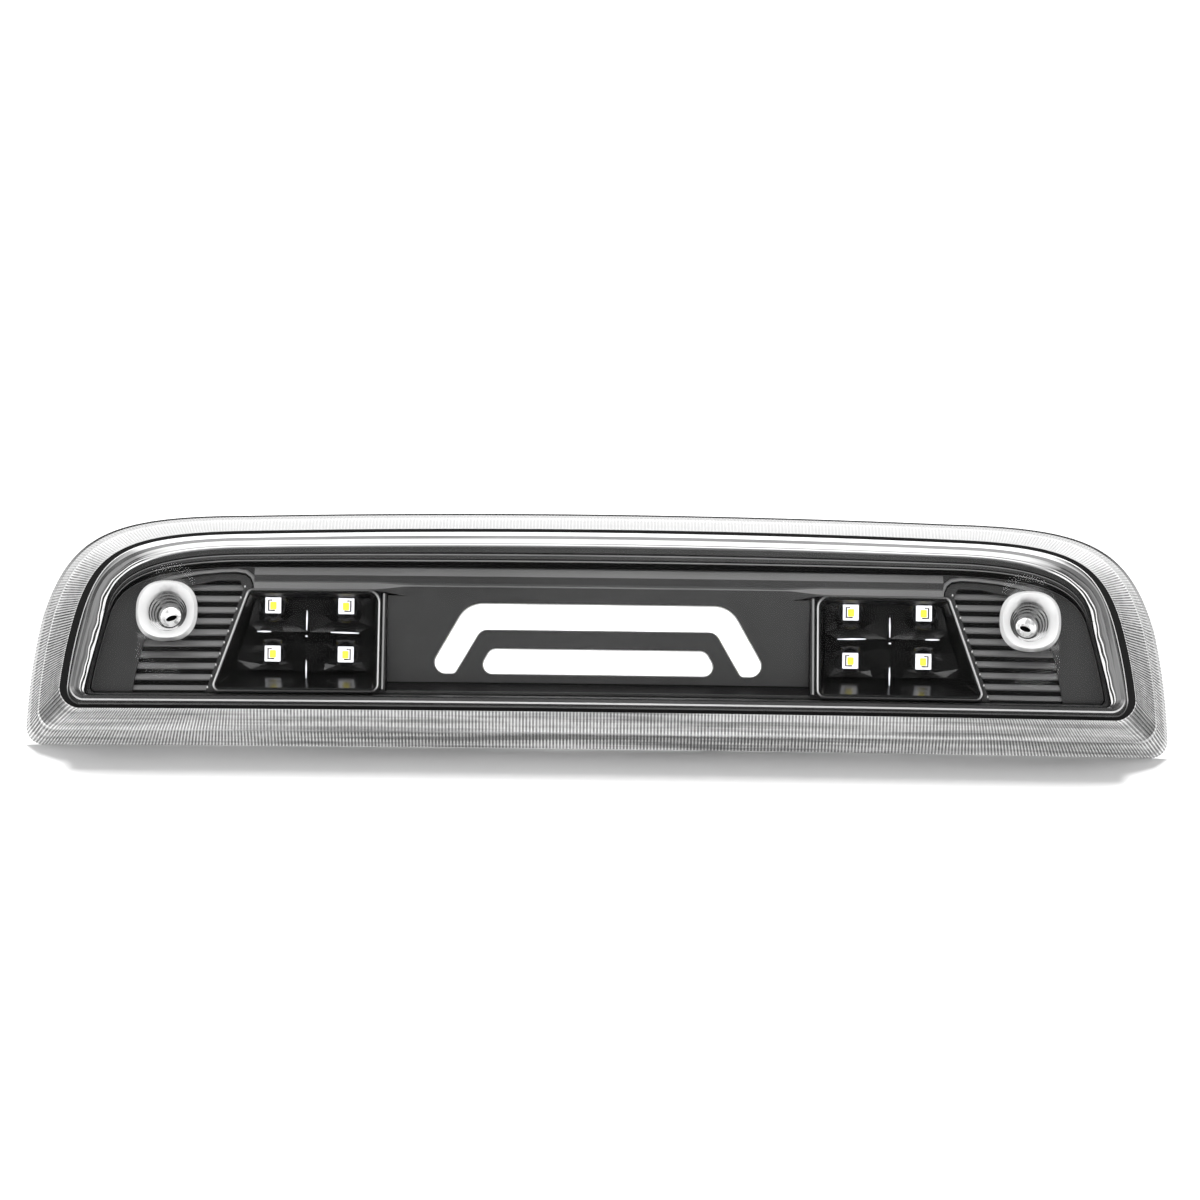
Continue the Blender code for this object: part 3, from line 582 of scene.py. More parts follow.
def build_dome(finishes):
    """Front of the lens: seam line, wall, rounded shoulder with thin steps and the flat face."""
    seal, face, edge = outline(SEAL, 3), outline(FACE, 3), outline(EDGE, 3) - (0, 0.65)
    reach = seal_reach(seal)
    seen, wall, shoulder, seam, line, glint, gap, crown = range(8)
    back = FACE_DEPTH + 2.4
    wall_foot, wall_top = inset(seal, reach + 0.4), inset(face, 0.1)
    rings = [(edge, back, 1.0, seen), (inset(face, 2.5), back, 0.6, seen),
             (inset(seal, reach + 1.3), -14.0, 0.3, seen), (inset(seal, reach), -14.0, 0.0, seam),
             (inset(seal, reach), -15.3, 0.0, seam), (wall_foot, -15.9, 0.1, wall)]
    for share in (0.25, 0.5, 0.75, 1.0):
        rings.append((wall_foot + (wall_top - wall_foot) * share, -15.9 - 7.3 * share,
                      0.1 + 0.3 * share, wall))
    up = np.abs(outward(face)[:, 1])
    corner = np.clip(1 - np.abs(up - 0.8) / 0.2, 0, 1) * (face[:, 1] > 0)
    start = inset(face, 1.7 + 0.3 * corner)
    rings += [(inset(face, 0.15), -23.8, 0.45, crown), (inset(face, 0.65), -24.25, 0.5, line),
              (start, -24.3, 0.52, shoulder)]
    sideways, height = np.abs(outward(edge)[:, :1]), edge[:, 1:]
    for share, depth, slot in ((0.35, -24.36, shoulder), (0.60, -24.42, glint), (0.69, -24.4, gap),
                               (0.85, -24.47, glint)):
        ripple = 0.5 * sideways * np.sin(height * 0.42 + share * 5.0)
        ripple = ripple + 0.3 * sideways * np.sin(height * 1.1 + share)
        rings.append((start + (edge - start) * (share + 0.09 * ripple), depth, 0.52 + 0.48 * share,
                      slot))
    rings.append((edge, FACE_DEPTH, 1.0, seen))
    bm = marking("across", "up")
    rows = rows_of(bm, [at_depth(points, depth) for points, depth, _, _ in rings])
    marked(bm, "across", rows, [[share] * len(seal) for _, _, share, _ in rings])
    marked(bm, "up", rows, [0.5 + 0.5 * outward(seal)[:, 1]] * len(rows))
    skin(bm, rows, slots=[slot for _, _, _, slot in rings])
    cap(bm, rows[0])
    cap(bm, rows[-1])
    dome = piece("lens_dome", bm, finishes)
    for side in (-1, 1):
        cut(dome, turned(side * WELL_X, 0, [(WELL_BORE, -40.0), (WELL_BORE, -5.0)], 64), sharp=CRISP)
    settled(dome, "outer_lens")


def round_the_lamp(rings, pitch, per_flute):
    """Sample several matching outlines at one even pitch, per_flute points to each flute."""
    guide = rings[1]
    lengths = np.linalg.norm(np.roll(guide, -1, 0) - guide, axis=1)
    travelled = np.concatenate([[0.0], np.cumsum(lengths)])
    flutes = int(round(travelled[-1] / pitch))
    wanted = np.arange(flutes * per_flute) * travelled[-1] / (flutes * per_flute)
    return flutes, [np.stack([np.interp(wanted, travelled, np.append(ring[:, axis], ring[0, axis]))
                              for axis in (0, 1)], 1) for ring in rings]


def build_skirt(finishes):
    """Two fluted bands of the lens round the seal, with a smooth bead at the fold and the rim."""
    per_flute = 6
    coarse = [outline(spec, 6) for spec in (SEAL, RIM)]
    flutes, (seal, rim) = round_the_lamp(coarse, FLUTE_PITCH, per_flute)
    wave = np.tile(0.5 + 0.5 * np.cos(2 * np.pi * np.arange(per_flute) / per_flute), flutes)
    fold = seal + (rim - seal) * FOLD_SHARE
    first, second, bead, rim_line = range(4)
    fall = FOLD_DEPTH - SEAL_DEPTH
    drop = RIM_DEPTH - FOLD_DEPTH
    rings = []

    def ring(points, depth, swing, across, slot):
        sunk = inset(points, wave * swing)
        rings.append((sunk, depth + wave * swing * 0.8, across, slot))
    ring(inset(seal, -0.1), SEAL_DEPTH + 0.1, 0.0, 0.0, bead)
    ring(inset(seal, -0.35), SEAL_DEPTH + 0.4, 0.0, 0.0, first)
    for share in (0.12, 0.4, 0.66, 0.92):
        ring(seal + (fold - seal) * share, SEAL_DEPTH + fall * share, 0.2, 0.5 * share, first)
    ring(seal + (fold - seal) * 0.95, FOLD_DEPTH - fall * 0.07, 0.0, 0.48, bead)
    ring(inset(fold, -0.15), FOLD_DEPTH - 0.05, 0.0, 0.5, bead)
    ring(fold + (rim - fold) * 0.05, FOLD_DEPTH + drop * 0.05, 0.0, 0.52, second)
    for share in (0.09, 0.4, 0.66):
        ring(fold + (rim - fold) * share, FOLD_DEPTH + drop * share, 0.34, 0.5 + 0.5 * share, second)
    ring(fold + (rim - fold) * 0.72, FOLD_DEPTH + drop * 0.72, 0.1, 0.86, rim_line)
    ring(fold + (rim - fold) * 0.9, FOLD_DEPTH + drop * 0.9, 0.1, 0.95, rim_line)
    ring(rim, RIM_DEPTH - 0.3, 0.0, 1.0, rim_line)
    ring(inset(rim, 0.3), RIM_DEPTH, 0.0, 1.0, bead)
    ring(inset(rim, 2.4), RIM_DEPTH, 0.0, 0.9, second)
    ring(inset(fold, 1.9), FOLD_DEPTH + 2.6, 0.0, 0.5, first)
    ring(inset(seal, 0.1), SEAL_DEPTH + 2.8, 0.0, 0.1, first)
    bm = marking("across", "flute", "up")
    rows = rows_of(bm, [at_depth(points, depth) for points, depth, _, _ in rings])
    marked(bm, "across", rows, [[across] * len(seal) for _, _, across, _ in rings])
    marked(bm, "flute", rows, [wave] * len(rings))
    marked(bm, "up", rows, [0.5 + 0.5 * outward(rim)[:, 1]] * len(rings))
    skin(bm, rows, closed=True, slots=[slot for _, _, _, slot in rings])
    show("lens_skirt", bm, finishes, "outer_lens", sharp=75)


def build_seal_line(finish):
    """Black seal between lens and housing, seen as a line round the dome."""
    seal = outline(SEAL, 3)
    reach = seal_reach(seal)
    section = ((0.0, -14.9), (reach - 0.1, -14.9), (reach + 0.6, -12.2), (0.3, -12.2))
    bm = loft([at_depth(inset(seal, inner), depth) for inner, depth in section], closed=True)
    show("seal_line", bm, [finish], "seal_bead")


def squarish(x, radius, count, power):
    """Clockwise circle pulled towards a square; at power 2 it stays a circle."""
    points = circle(0, 0, 1, count)
    stretch = (np.abs(points) ** power).sum(1) ** (-1 / power)
    return points * radius * stretch[:, None] + (x, 0)


def build_well(side, name, finishes):
    """Stepped cup for a mounting screw, with a dark slanting slot at its foot, walled and closed in
    black as painted shade.
    """
    x = side * WELL_X
    opening = FACE_DEPTH + bow(WELL_X)
    count = 72
    clear, shaded_slot, step, foot = range(4)
    profile = [(10.2, opening + 1.6), (9.45, opening + 0.15), (9.2, opening - 0.1),
               (8.8, opening + 0.1), (6.9, opening + 2.2), (6.55, opening + 2.9),
               (6.35, opening + 5.0), (5.95, opening + 5.2), (5.75, opening + 7.2),
               (5.3, opening + 7.4), (5.1, opening + 9.6), (4.6, opening + 9.8),
               (4.4, opening + 12.2), (3.7, opening + 12.5), (3.5, opening + 15.8)]
    outside = ((5.6, WELL_SEAT + 2.3), (7.0, opening + 9.6), (8.4, opening + 5.6))
    rings = [upright(circle(x, 0, radius, count), y) for radius, y in outside]
    for radius, y in profile:
        power = 2.0 + 0.09 * max(0.0, radius - 5.5)
        rings.append(upright(squarish(x, radius, count, power), y))
    turn = math.radians(-20.0) * side
    slot = circle(0, 0, 1, count) * (1.9, 0.85)
    slot = slot @ np.array([[math.cos(turn), math.sin(turn)], [-math.sin(turn), math.cos(turn)]])
    rings += [upright(slot + (x, 0), y) for y in (WELL_SEAT, WELL_SEAT + 1.5)]
    # the thin steps get painted dark lines; the slot's wall and closed end are painted shade in the
    # black rubber finish
    bands = [step if index in (9, 11, 13, 15) else clear for index in range(len(rings) - 3)]
    bm = loft(rings, slots=bands + [foot, shaded_slot])
    bm.faces.ensure_lookup_table()
    bm.faces[-1].material_index = shaded_slot
    show(name, bm, finishes, "outer_lens", sharp=40)


# Levels of painted light and shade for the dome's bands, by where the outline faces (0 down, 1 up): the
# top painted white, the ends grey, mostly dark at the foot; glint, crown, seam and line bands are
# painted highlights, the gap band painted shade.
wall_stops = ((0.0, 0.05), (0.2, 0.05), (0.5, 0.08), (0.85, 0.09), (0.955, 0.25), (0.99, 0.95))
flat_stops = ((0.0, 0.012), (0.25, 0.03), (0.5, 0.15), (0.8, 0.13), (0.955, 0.10), (0.985, 0.6),
              (1.0, 0.95))
gap_stops = ((0.0, 0.008), (0.6, 0.01), (0.96, 0.02), (0.99, 0.8), (1.0, 0.95))
seam_stops = ((0.0, 0.08), (0.25, 0.3), (0.5, 0.95), (1.0, 0.95))
line_stops = ((0.0, 0.03), (0.2, 0.1), (0.35, 0.25), (0.5, 0.15), (0.75, 0.08), (0.96, 0.08),
              (0.99, 0.16), (1.0, 0.22))
crown_stops = ((0.0, 0.6), (0.25, 0.5), (0.5, 0.3), (0.75, 0.3), (0.955, 0.4), (0.99, 0.95))
glint_stops = ((0.0, 0.012), (0.2, 0.1), (0.4, 0.95), (0.96, 0.95), (0.985, 0.4), (1.0, 0.2))
dome_finishes = [face_finish(), shoulder_finish("lens_wall_clear", wall_stops, 6.0, 0.1),
                 shoulder_finish("lens_shoulder_clear", flat_stops, 9.0, 0.1),
                 shoulder_finish("lens_seam_edge", seam_stops, 0.5, 0.1),
                 shoulder_finish("lens_step_edge", line_stops, 0.5, 0.1),
                 shoulder_finish("lens_glint_edge", glint_stops, 1.0, 0.1),
                 shoulder_finish("lens_dark_step", gap_stops, 1.0, 0.1),
                 shoulder_finish("lens_crown_edge", crown_stops, 1.0, 0.1)]
# Levels of painted light on the skirt's bands by where the outline faces (0 down, 1 up); the tables
# passed with them set how strongly the painted dark flute lines show, and the deep flutes add a painted
# glow.
skirt_levels = ((0.0, 0.95), (0.03, 0.85), (0.15, 0.2), (0.4, 0.3), (0.5, 0.55), (0.75, 0.75),
                (0.9, 0.75), (1.0, 0.62))
rim_levels = ((0.0, 0.95), (0.25, 0.85), (0.5, 0.9), (0.75, 0.9), (1.0, 0.62))
# black rubber for the seal and the grommet; the same finish paints the shade in the screw wells' slots
rubber = moulded("seal_rubber_and_painted_slot_shade", 0.004, 0.6, shine=0.15)
well_clear = well_finish()
well_foot = painted_glow_foot()
# painted shade: thin dark lines at the steps of the wells
well_step = shoulder_finish("lens_well_step", ((0.0, 0.03), (0.5, 0.2), (1.0, 0.3)), 1.0, 0.05)
build_dome(dome_finishes)
build_skirt([skirt_finish("lens_fine_flutes", skirt_levels,
                          ((0.0, 0.7), (0.35, 1.0), (0.6, 0.97), (0.8, 0.7), (0.95, 0.15)), 0.12),
             skirt_finish("lens_deep_flutes", rim_levels,
                          ((0.0, 0.8), (0.35, 1.0), (0.6, 0.95), (0.8, 0.4), (0.95, 0.1)), 0.12,
                          0.3),
             skirt_finish("lens_fold_bead", ((0.0, 0.9), (0.25, 0.95), (0.5, 0.9), (1.0, 0.6)),
                          ((0.0, 0.5), (0.5, 0.6), (1.0, 0.1)), 0.1),
             skirt_finish("lens_rim_line", ((0.0, 0.95), (0.3, 0.9), (0.55, 0.85), (0.8, 0.25),
                                            (0.92, 0.02), (1.0, 0.015)),
                          ((0.0, 0.7), (0.5, 0.6), (0.8, 0.1), (1.0, 0.0)), 0.1)])
build_seal_line(rubber)
for side, name in ((-1, "lens_well_left"), (1, "lens_well_right")):
    build_well(side, name, [well_clear, rubber, well_step, well_foot])


# ------------------------------------------------------------------ inside finishes
def edge_with_painted_highlight(name, stops, rough=0.3):
    """Black plastic edge with a painted highlight: its grey is set by where it faces, standing for how
    its rounding catches the light.
    """
    n = Nodes(name)
    level = n.ramp(facing_up(n), *stops)
    grain = n.noise(900.0, 3.0)
    cloud = n.noise(30.0, 3.0)
    strong = n.times(n.ramp(cloud, (0.3, 0.75), (0.7, 1.0)), level)
    return n.solid(Base_Color=n.shade(strong), Roughness=rough,
                   Normal=n.bump(grain, 0.3, 0.00001))


def plastic_with_painted_glow(name, colour, glow, rough=0.4, scale=500.0):
    """Milky or phosphor plastic with a painted glow: emission makes it look bright by itself, with a
    faint cloud in it.
    """
    n = Nodes(name)
    cloud = n.noise(scale, 3.0)
    low = tuple(0.93 * part for part in colour)
    tint = n.ramp(cloud, (0.3, low), (0.7, colour))
    return n.solid(Base_Color=tint, Roughness=rough, Emission_Color=tint,
                   Emission_Strength=glow,
                   Normal=n.bump(cloud, 0.1, 0.00001))


satin = moulded("bezel_satin_black", 0.022, 0.38, grain=2600.0, depth=0.00001, strength=0.25,
                shine=0.4)
# painted shade: a deeper black on grooves, undercuts and walls that lie in shade
black = moulded("bezel_painted_shade_black", 0.004, 0.5, shine=0.15)
# painted highlights: rounded edges and rib ends lighter or darker by where they face
bright_edge = edge_with_painted_highlight("bezel_bright_edge", ((0.0, 0.10), (0.3, 0.2), (0.6, 0.25), (1.0, 0.22)), 0.2)
soft_edge = edge_with_painted_highlight("bezel_soft_edge", ((0.0, 0.16), (0.5, 0.12), (1.0, 0.12)), 0.3)
frame_edge = edge_with_painted_highlight("pocket_bright_edge", ((0.0, 0.03), (0.2, 0.3), (0.5, 0.55), (0.7, 0.4),
                                                (1.0, 0.05)), 0.15)
rib_glint = edge_with_painted_highlight("ribs_bright_end", ((0.0, 0.02), (0.45, 0.1), (0.7, 0.6), (1.0, 0.8)), 0.15)
# painted light: a lighter copy of the satin black for the rib faces that look up
rib_lit = moulded("ribs_painted_lit_black", 0.11, 0.4, grain=1800.0, depth=0.00001, shine=0.25)
# ledge faces that catch the light: a coarser grain of their own and a lighter base that is painted
# light
grain_and_lit = moulded("bezel_grain_painted_light", 0.10, 0.5, grain=700.0, depth=0.00003, strength=0.6)
gloss = moulded("pocket_gloss_black", 0.003, 0.2, grain=60.0, depth=0.00005, strength=0.15,
                shine=0.2)
# painted highlight on the reflector's crests, with a painted glow
crest = plastic_with_painted_glow("pocket_crest_painted_highlight", (0.75, 0.75, 0.8), 0.25, 0.15)
# milky guides and LED packages keep their own colours and add a painted glow (emission)
milky = plastic_with_painted_glow("guide_milky_white", (0.95, 0.95, 0.95), 0.55, 0.35, 240.0)
led_white = plastic_with_painted_glow("led_package_white", (0.88, 0.88, 0.92), 0.45, 0.4)
led_yellow = plastic_with_painted_glow("led_phosphor_yellow", (0.88, 0.76, 0.06), 0.5, 0.3)
led_dark = moulded("led_dark_frame", 0.02, 0.4)


# ------------------------------------------------------------------ bezel
def bezel_part(name, bm, finishes, sharp=CRISP):
    """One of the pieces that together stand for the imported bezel."""
    show(name, bm, finishes, "inner_bezel", sharp)


def lean(bm, origin, tilt):
    """Move what was drawn flat into a tilted frame of the lamp."""
    bmesh.ops.transform(bm, verts=bm.verts,
                        matrix=Matrix.Translation(origin) @ Matrix.Rotation(tilt, 4, "X"))


def sweep(path, radius, sides=10, taper=1.0):
    """Rounded bead along a path of points, narrowing to taper at both ends."""
    turns = [2 * math.pi * k / sides for k in range(sides)]
    rings = []
    for index, point in enumerate(path):
        ahead = Vector(path[min(index + 1, len(path) - 1)]) - Vector(path[max(index - 1, 0)])
        across = ahead.cross(Vector((0, 1, 0))).normalized()
        over = across.cross(ahead).normalized()
        at_end = index in (0, len(path) - 1)
        reach = radius * (taper if at_end else 1.0)
        rings.append([Vector(point) + across * reach * math.cos(angle)
                      + over * reach * math.sin(angle) for angle in turns])
    return loft(rings)


def build_brow():
    """Stepped frame from the bezel's front edge back to its plate, narrow at ends and foot."""
    edge, brow = outline(EDGE, 2), outline(BROW, 2)
    # slots: satin, painted shade black for the groove and dark steps, painted highlight for the light
    # steps
    plain, dark, light = range(3)
    steps = [(0.0, EDGE_DEPTH, light), (0.03, EDGE_DEPTH - 0.12, plain), (0.28, -19.4, dark),
             (0.36, -18.9, light), (0.42, -18.8, plain), (0.58, -18.1, dark), (0.65, -17.7, light),
             (0.72, -17.6, dark), (0.84, -14.4, dark), (1.0, -14.4, dark)]
    rings = [at_depth(edge + (brow - edge) * share, depth) for share, depth, _ in steps]
    rings += [at_depth(inset(brow, -0.1), -13.0), at_depth(inset(edge, 0.1), -11.0)]
    slots = [slot for _, _, slot in steps] + [dark, dark]
    bezel_part("bezel_brow", loft(rings, closed=True, slots=slots), [satin, black, soft_edge])


def pocket_outline(grow):
    """Front opening of the right cargo light, grown by this much."""
    corners = [(73.1, 7.3, 3.5), (116.0, 7.3, 1.5), (127.3, -25.6, 1.5), (73.1, -25.6, 2.0)]
    return inset(rounded(corners, 8), -grow)


def rib_reach(z):
    """Inner and outer end of the ribbed panel at this height."""
    inner = 118.6 - (z - 7.3) * 0.343
    if z > 9.0:
        inner = 118.0 + (z - 9.0) * 0.6
    outer = float(np.interp(z, (-28.0, -15.0, -9.0, 6.0, 10.2, 11.5),
                            (154.8, 152.6, 151.0, 149.0, 138.0, 126.0)))
    return inner, outer


RIB_TOP, RIB_FOOT = 11.4, -27.4
RIB_PITCH = 3.77
RIB_CREST = RIB_TOP - 0.9          # top of the first rib
RIB_VALLEY, RIB_PROUD = -13.4, -15.7


def build_plate():
    """Flat part of the bezel behind the brow, open at the tray, pockets, ribs and wells."""
    brow = inset(outline(BROW), 0.12)
    rings = [at_depth(brow, PLATE_DEPTH + 1.6), at_depth(brow, PLATE_DEPTH + 0.3),
             at_depth(inset(brow, 0.3), PLATE_DEPTH)]
    # the bevel at the plate's outer edge carries a painted highlight
    plate = piece("bezel_plate", capped(rings, [0, 1]), [satin, soft_edge])
    cut(plate, prism(oblong(-TRAY_HALF, TRAY_HALF, 7.2, -25.6), *CUT_REACH))
    heights = np.linspace(RIB_TOP, RIB_FOOT + 1.2, 14)
    ribs = [(rib_reach(z)[1], z) for z in heights] + [(rib_reach(z)[0], z) for z in heights[::-1]]
    for side in (-1, 1):
        cut(plate, prism(mirrored(pocket_outline(0.3), side), *CUT_REACH))
        cut(plate, turned(side * WELL_X, 0, [(10.0, y) for y in CUT_REACH], 64))
        cut(plate, prism(mirrored(np.array(ribs), side), *CUT_REACH))
    settled(plate, "inner_bezel")


def build_ledge():
    """Raised bar over the tray that swells into a sloping brow over each cargo light."""
    half, blend_start, blend_end = 114.5, 62.0, 75.0
    head = [(-16.0, 16.0), (-17.4, 15.7), (-18.7, 13.0)]
    foot = [(-14.5, 6.35), (-14.5, 16.0)]
    centre = np.array(head + [(-18.25, 10.6), (-18.75, 9.8), (-18.7, 9.4), (-17.75, 6.35)] + foot)
    pocket = np.array(head + [(-18.2, 11.0), (-18.45, 10.5), (-19.85, 8.2), (-19.9, 7.7),
                              (-14.5, 7.7), (-14.5, 16.0)])
    rings = []
    for x in np.linspace(-half, half, 115):
        share = min(1.0, max(0.0, (abs(x) - blend_start) / (blend_end - blend_start)))
        share = share * share * (3 - 2 * share)
        section = centre + (pocket - centre) * share
        rings.append([(x, y + bow(x), z) for y, z in section])
    # slots: satin, painted shade black for the faces under and behind the bar, and a painted-light
    # finish with grain for the faces that catch the light
    plain, dark, grain = range(3)
    sides = (plain, grain, plain, plain, grain, plain, dark, dark, dark)
    bezel_part("bezel_ledge", loft(rings, sides=sides), [satin, black, grain_and_lit], sharp=24)


def guide_outlines():
    """The arch and the bar, in the tray's own X and Z."""
    arch = rounded([(0, 11.7, 0), (43.5, 11.7, 9.0), (56.8, -11.5, 3.6), (47.6, -11.5, 1.6),
                    (39.0, 3.3, 4.0), (0, 3.3, 0)], 12)
    bar = rounded([(0, -3.4, 0), (35.6, -3.4, 3.0), (40.3, -11.5, 3.0), (0, -11.5, 0)], 12)
    return [(name, np.concatenate([half[:-1], half[:0:-1] * (-1, 1)])) for name, half in
            (("light_guide_arch", arch), ("light_guide_bar", bar))]


def build_tray():
    """Floor of the centre tray, leaning back at its foot, with a slot for each light guide."""
    slope = math.tan(TRAY_TILT)

    def floor(z):
        return TRAY_DEPTH - (z - TRAY_Z) * slope
    foot, top = -21.3, 6.5
    # slots: satin, painted shade black on the foot and the back, painted highlight on the rail's edge
    plain, dark, edge = range(3)
    profile = [(floor(top), top), (floor(foot), foot), (floor(foot) + 0.4, foot - 0.4),
               (PLATE_DEPTH + 0.6, -25.1), (PLATE_DEPTH, -25.25), (PLATE_DEPTH, -25.75),
               (-8.0, -25.9), (floor(top) + 2.4, top)]
    rings = [[(x, y + bow(x), z) for y, z in profile]
             for x in np.linspace(-TRAY_HALF + 0.2, TRAY_HALF - 0.2, 37)]
    sides = (plain, dark, dark, edge, plain, dark, dark, dark)
    tray = piece("tray_floor", loft(rings, sides=sides), [satin, black, soft_edge], sharp=20)
    for name, points in guide_outlines():
        slot = prism(inset(points, -0.35), -3.0, 6.0)
        lean(slot, (0, TRAY_DEPTH, TRAY_Z), TRAY_TILT)
        cut(tray, slot)
        bm = loft([upright(inset(points, reach), y) for reach, y in
                   ((0.0, 3.2), (0.0, -0.1), (0.12, -0.45), (0.5, -0.6))])
        lean(bm, (0, TRAY_DEPTH, TRAY_Z), TRAY_TILT)
        for vertex in bm.verts:
            vertex.co.y += bow(vertex.co.x)
        show(name + "_lens", bm, [milky], name, sharp=50)
    settled(tray, "inner_bezel")


def build_cheek(side, name):
    """Wall between the tray and a cargo light, with two rounded edges, one of them in a painted
    highlight, and painted shade black on its sides and back.
    """
    rings = []
    for z in np.linspace(7.0, -25.2, 13):
        deep = min(-17.6 + (7.0 - z) * 0.25, -10.5)
        section = [(70.25, deep), (70.35, -18.6), (70.9, -19.1), (71.5, -18.9), (71.9, -18.2),
                   (72.3, -18.9), (72.3, -10.0), (70.25, -10.0)]
        rings.append([(side * x, y + bow(x), z) for x, y in section])
    plain, dark, edge = range(3)
    sides = (dark, plain, edge, plain, dark, dark, dark, dark)
    bezel_part(name, loft(rings, sides=sides), [satin, black, bright_edge])


def build_pocket_frame(side, name):
    """Rounded rim round the opening of a cargo light."""
    # slots: satin, painted highlight on the front of the rim, painted shade black on its walls
    plain, light, dark = range(3)
    steps = [(0.05, -15.0, dark), (0.05, -19.6, light), (0.3, -20.0, light), (0.65, -19.95, plain),
             (1.0, -19.4, plain), (1.1, -15.0, dark)]
    rings = [at_depth(mirrored(pocket_outline(grow), side), depth) for grow, depth, _ in steps]
    bm = loft(rings, closed=True, slots=[slot for _, _, slot in steps])
    bezel_part(name, bm, [satin, frame_edge, black])


def build_ribs(side, name):
    """Ribbed panel beside a cargo light: sawtooth ribs with painted light on the faces that look up and
    a dark undercut of painted shade below each.
    """
    tooth_shape = ((0.0, 0.0), (0.07, 0.5), (0.12, 0.62), (0.34, 0.8), (0.52, 0.97), (0.57, 0.93),
                   (0.63, 0.6), (0.78, 0.1), (0.98, 0.0))
    lit_points = 6                 # the first points of a tooth face up and catch the light
    heights = [(RIB_TOP + 0.3, RIB_VALLEY)]
    for tooth in range(11):
        high = RIB_CREST - tooth * RIB_PITCH
        heights += [(high - share * RIB_PITCH, RIB_VALLEY + (RIB_PROUD - RIB_VALLEY) * lift)
                    for share, lift in tooth_shape]
    heights = [(z, y) for z, y in heights if z > RIB_FOOT]
    bm = bmesh.new()
    front, back = [], []
    steps = 16
    for z, y in heights:
        inner, outer = rib_reach(z)
        xs = [inner - 0.6 + (outer - inner + 1.2) * k / steps for k in range(steps + 1)]
        front.append([bm.verts.new((side * x, y + bow(x), z)) for x in xs])
        back.append([bm.verts.new((side * x, -11.5 + bow(x), z)) for x in xs])
    for grid in (front, back):
        for row, (high, low) in enumerate(zip(grid, grid[1:])):
            lit = row > 0 and (row - 1) % len(tooth_shape) < lit_points
            for k in range(steps):
                made = bm.faces.new((high[k], high[k + 1], low[k + 1], low[k]))
                # painted light and shade: faces that look up get the lit finish, the others the shade
                # black
                made.material_index = 0 if lit else 1
    for row in range(len(front) - 1):
        for k in (0, steps):
            bm.faces.new((front[row][k], front[row + 1][k], back[row + 1][k], back[row][k]))
    for row in (0, -1):
        for k in range(steps):
            bm.faces.new((front[row][k], front[row][k + 1], back[row][k + 1], back[row][k]))
    panel = piece(name, bm, [rib_lit, black], sharp=50)
    cut(panel, turned(side * WELL_X, 0, [(9.3, y) for y in CUT_REACH], 48))
    settled(panel, "inner_bezel")
    # rounded rib ends with a painted highlight
    for tooth in range(10):
        z = RIB_CREST - (tooth + 0.4) * RIB_PITCH
        inner, _ = rib_reach(z)
        bead = bmesh.new()
        bmesh.ops.create_uvsphere(bead, u_segments=12, v_segments=8, radius=1.0)
        bmesh.ops.scale(bead, verts=bead.verts, vec=(0.4, 0.9, 0.95))
        bmesh.ops.translate(bead, verts=bead.verts,
                            vec=(side * (inner - 0.3), RIB_PROUD - 0.3 + bow(inner), z))
        bezel_part(f"{name}_end_{tooth + 1}", bead, [rib_glint])


def build_hood(side, name):
    """Rounded hood at the end of the ledge, running over the ribs towards the well."""
    path = [(113.9, 7.9), (114.3, 10.4), (115.2, 12.6), (117.2, 14.2), (120.5, 14.7), (126.0, 14.5),
            (133.0, 13.8), (141.0, 12.3), (148.0, 10.0)]
    inner = [(116.6, 8.2), (116.8, 9.6), (117.4, 10.9), (118.6, 11.7), (121.0, 11.9), (126.0, 11.7),
             (132.5, 11.2), (139.5, 10.3), (146.0, 8.2)]

    def placed(x, y, z):
        return side * x, y + bow(x), z
    # painted highlights on the bead and the lip, painted shade black on the slope under the bead
    bead = sweep([placed(x, -17.5, z) for x, z in path], 0.6)
    bezel_part(name + "_bead", bead, [soft_edge])
    slope = loft([[placed(x, -17.4, z), placed(inner_x, -15.2, inner_z),
                   placed(inner_x, -13.0, inner_z), placed(x, -13.0, z)]
                  for (x, z), (inner_x, inner_z) in zip(path, inner)])
    bezel_part(name + "_slope", slope, [black], sharp=30)
    lip = sweep([placed(x, -15.3, z) for x, z in inner[:7]], 0.22)
    bezel_part(name + "_lip", lip, [bright_edge])


build_brow()
build_plate()
build_ledge()
build_tray()
for side, label in ((-1, "left"), (1, "right")):
    build_cheek(side, f"tray_cheek_{label}")
    build_pocket_frame(side, f"pocket_frame_{label}")
    build_ribs(side, f"ribs_{label}")
    build_hood(side, f"hood_{label}")


# ------------------------------------------------------------------ cargo lights
POCKET_DEPTH = -9.25 + bow(POCKET_X)
CREST_X, CREST_Z, CREST_DEPTH = 97.0, -5.4, -12.0
OPENING_DEPTH = -19.9
FACETS = 14                        # flat facets round each source


def base_depth(z):
    """Depth of the pocket's leaning floor at this height."""
    return POCKET_DEPTH - (z - POCKET_Z) * math.tan(POCKET_TILT)


def reach_to(polygon, middle, angle):
    """Where a ray from the middle leaves a convex polygon, and the side it crosses."""
    ray = np.array([math.sin(angle), math.cos(angle)])
    best = (1e9, 0)
    for index, (start, stop) in enumerate(zip(polygon, polygon[1:] + polygon[:1])):
        side = np.subtract(stop, start)
        cross = ray[0] * side[1] - ray[1] * side[0]
        if abs(cross) < 1e-9:
            continue
        gap = np.subtract(start, middle)
        distance = (gap[0] * side[1] - gap[1] * side[0]) / cross
        if 1e-6 < distance < best[0]:
            best = (distance, index)
    return ray * best[0] + middle, best[1]


